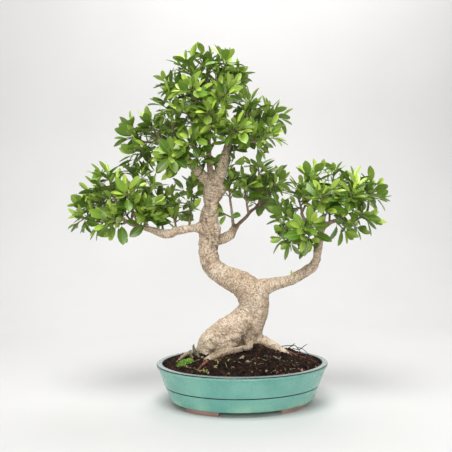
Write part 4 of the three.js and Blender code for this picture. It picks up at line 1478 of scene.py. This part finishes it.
chip_finish = flecked("bark_chips", "38241a", "5c3c2a", "9c8a70")
moss_finish = flecked("moss", "3d6418", "6c9a2c", "93bb4a")
chip, blade = broken_lump("chip", 8, 0.34), broken_lump("blade", 15, 0.3)
chips = grown("bark_chips", scattered, soil_top, Lump=chip, Density=2600.0, Small=0.0014,
              Large=0.0052, Seed=23, Finish=chip_finish, Sunk=-0.0008)
moss_bed = low_mound("moss_bed", (-111, -53), 15, 9, 4.5, 0.4)
moss_bed.data.materials.append(moss_finish)
moss = grown("moss", scattered, moss_bed, Lump=blade, Density=1400000.0, Small=0.0008,
             Large=0.0030, Seed=31, Finish=moss_finish, Sunk=-0.0006)
set_aside(soil_top, chip, blade)
for piece in (chips, moss_bed, moss):
    given(piece, "soil")
print("chips", triangles(chips), "moss", triangles(moss), "triangles")

# %% [markdown]
# Dead roots lie about the trunk's foot: black wires that stand out of the soil at the right, thin
# red roots beside them, the red tip of the front root, and pale threads between the grains. Three
# grey buds stand at the foot's left, and small green shoots come from the soil and the branch.
# Each is a path with a radius, carried out by the same tubes as the limbs.

# %% Fine roots, buds and green shoots
WIRES = [
    [[60, 8, 106, 1.0], [84, 4, 110.5, 0.9], [104, 2, 112, 0.7]],
    [[88, 4, 104, 0.9], [97, 3, 110, 0.8], [104, 2, 116, 0.6]],
    [[96, 4, 109, 0.8], [104, 2, 112, 0.8], [110, 2, 106, 0.8], [116, 0, 98, 0.8]],
    [[100, 2, 106, 0.8], [114, 2, 104, 0.8], [122, 2, 110, 0.7], [129, 2, 114.5, 0.5]],
    [[108, 2, 108, 0.8], [118, 0, 106, 0.7], [127, -2, 99, 0.6], [134, -2, 92, 0.6]],
    [[92, -2, 108, 0.7], [100, 0, 104, 0.8], [112, 0, 97, 0.8]],
]
RED_ROOTS = [
    [
        [70, 0, 104, 1.4], [83, 2, 103.4, 1.8], [96, -6, 99.6, 1.7], [108, -14, 94.6, 1.5],
        [118, -16, 92, 1.2], [130, -18, 88, 0.8],
    ],
    [
        [-62, -60, 95, 3.6], [-70, -67, 94.2, 3.6], [-76, -75, 90.8, 3.1], [-82, -83, 86.6, 2.4],
        [-85, -90, 82, 1.6],
    ],
    [[100, -10, 98, 1.0], [110, -4, 97, 1.0], [122, 2, 95, 0.7]],
]
BUDS = [
    [
        [-90, -28, 94, 3.6], [-92, -29, 103, 3.9], [-95, -30, 110, 3.0], [-96, -30, 117, 2.0],
        [-95, -30, 121, 0.5],
    ],
    [[-98, -30, 92, 3.0], [-101, -31, 99, 3.4], [-103, -32, 105, 2.2], [-102, -32, 109, 0.5]],
    [[-84, -36, 92, 3.4], [-86, -38, 99, 3.2], [-89, -38, 104, 1.8], [-90, -38, 107, 0.5]],
]
SHOOTLETS = [
    [[95, -8, 250, 0.7], [96, -9, 255, 0.8], [96, -9, 259, 1.7], [97, -10, 263, 0.3]],
    [[96, -8, 252, 0.6], [98, -9, 256, 1.3], [101, -9, 260, 0.3]],
    [[-73, -98, 80, 0.6], [-73, -99, 84, 1.5], [-74, -101, 90, 0.3]],
    [[-70, -98, 80, 0.6], [-69, -99, 83, 1.3], [-66, -100, 87, 0.3]],
    [[-48, -82, 92, 0.6], [-48, -83, 97, 1.4], [-50, -84, 102, 0.3]],
    [[-29, -81, 96, 0.6], [-29, -82, 100, 1.3], [-26, -83, 104, 0.3]],
]
THREADS, THREAD_SEED, THREAD_STEPS = 22, 5, 7
ROOT_SIDES = 7


def thread(rng):
    """A pale thread of root that wanders over the soil in front of the trunk."""
    x, y = rng.uniform(-110, 110), rng.uniform(-98, -50)
    heading = rng.uniform(0, 2 * math.pi)
    path = []
    for step in range(THREAD_STEPS):
        lift = 1.2 + 1.1 * math.sin(step * 1.1 + heading)
        path.append(np.array([x, y, soil_top_at(x, y) + lift, 0.65 - 0.05 * step]))
        heading += rng.uniform(-0.6, 0.6)
        x, y = x + 3.4 * math.cos(heading), y + 2.2 * math.sin(heading)
    return path


thread_rng = random.Random(THREAD_SEED)
fine_roots = (
    ("black_roots", [smooth_path(w) for w in WIRES], "1f1a17", "4a3f38", "soil"),
    ("red_roots", [smooth_path(w) for w in RED_ROOTS], "5a3424", "86573f", "bark"),
    ("pale_threads", [thread(thread_rng) for _ in range(THREADS)], "6f6840", "a89d78", "soil"),
    ("trunk_buds", [smooth_path(w) for w in BUDS], "4c4a38", "7c7a5e", "bark"),
    ("shootlets", [smooth_path(w) for w in SHOOTLETS], "86a83a", "b3cf5c", "leaf_green"),
)
for name, paths, first, second, slot in fine_roots:
    lines = path_piece("root_lines", paths)
    finish = two_shades(name, 240.0, first, second, 0.75, 600.0, 0.5)
    piece = grown(name, tubes, lines, Sides=ROOT_SIDES, Finish=finish)
    set_aside(lines)
    given(piece, slot)
    print(name, len(paths), "paths", triangles(piece), "triangles")

# %% [markdown]
# The plastic mesh squares over the drain holes keep their solids and get a finish.

# %% Mesh squares and the end
plastic = Finish("drain_mesh_plastic")
plastic_shade = plastic.layered("1d1f1e", (plastic.noise(200.0), "2c2e2d"))
plastic.finished(plastic_shade, 0.55, (plastic.noise(900.0), 0.0002, 0.4))
for name in ("drain_mesh_left", "drain_mesh_right"):
    node = frame["nodes"][name]
    node.data.materials.clear()
    node.data.materials.append(plastic.material)
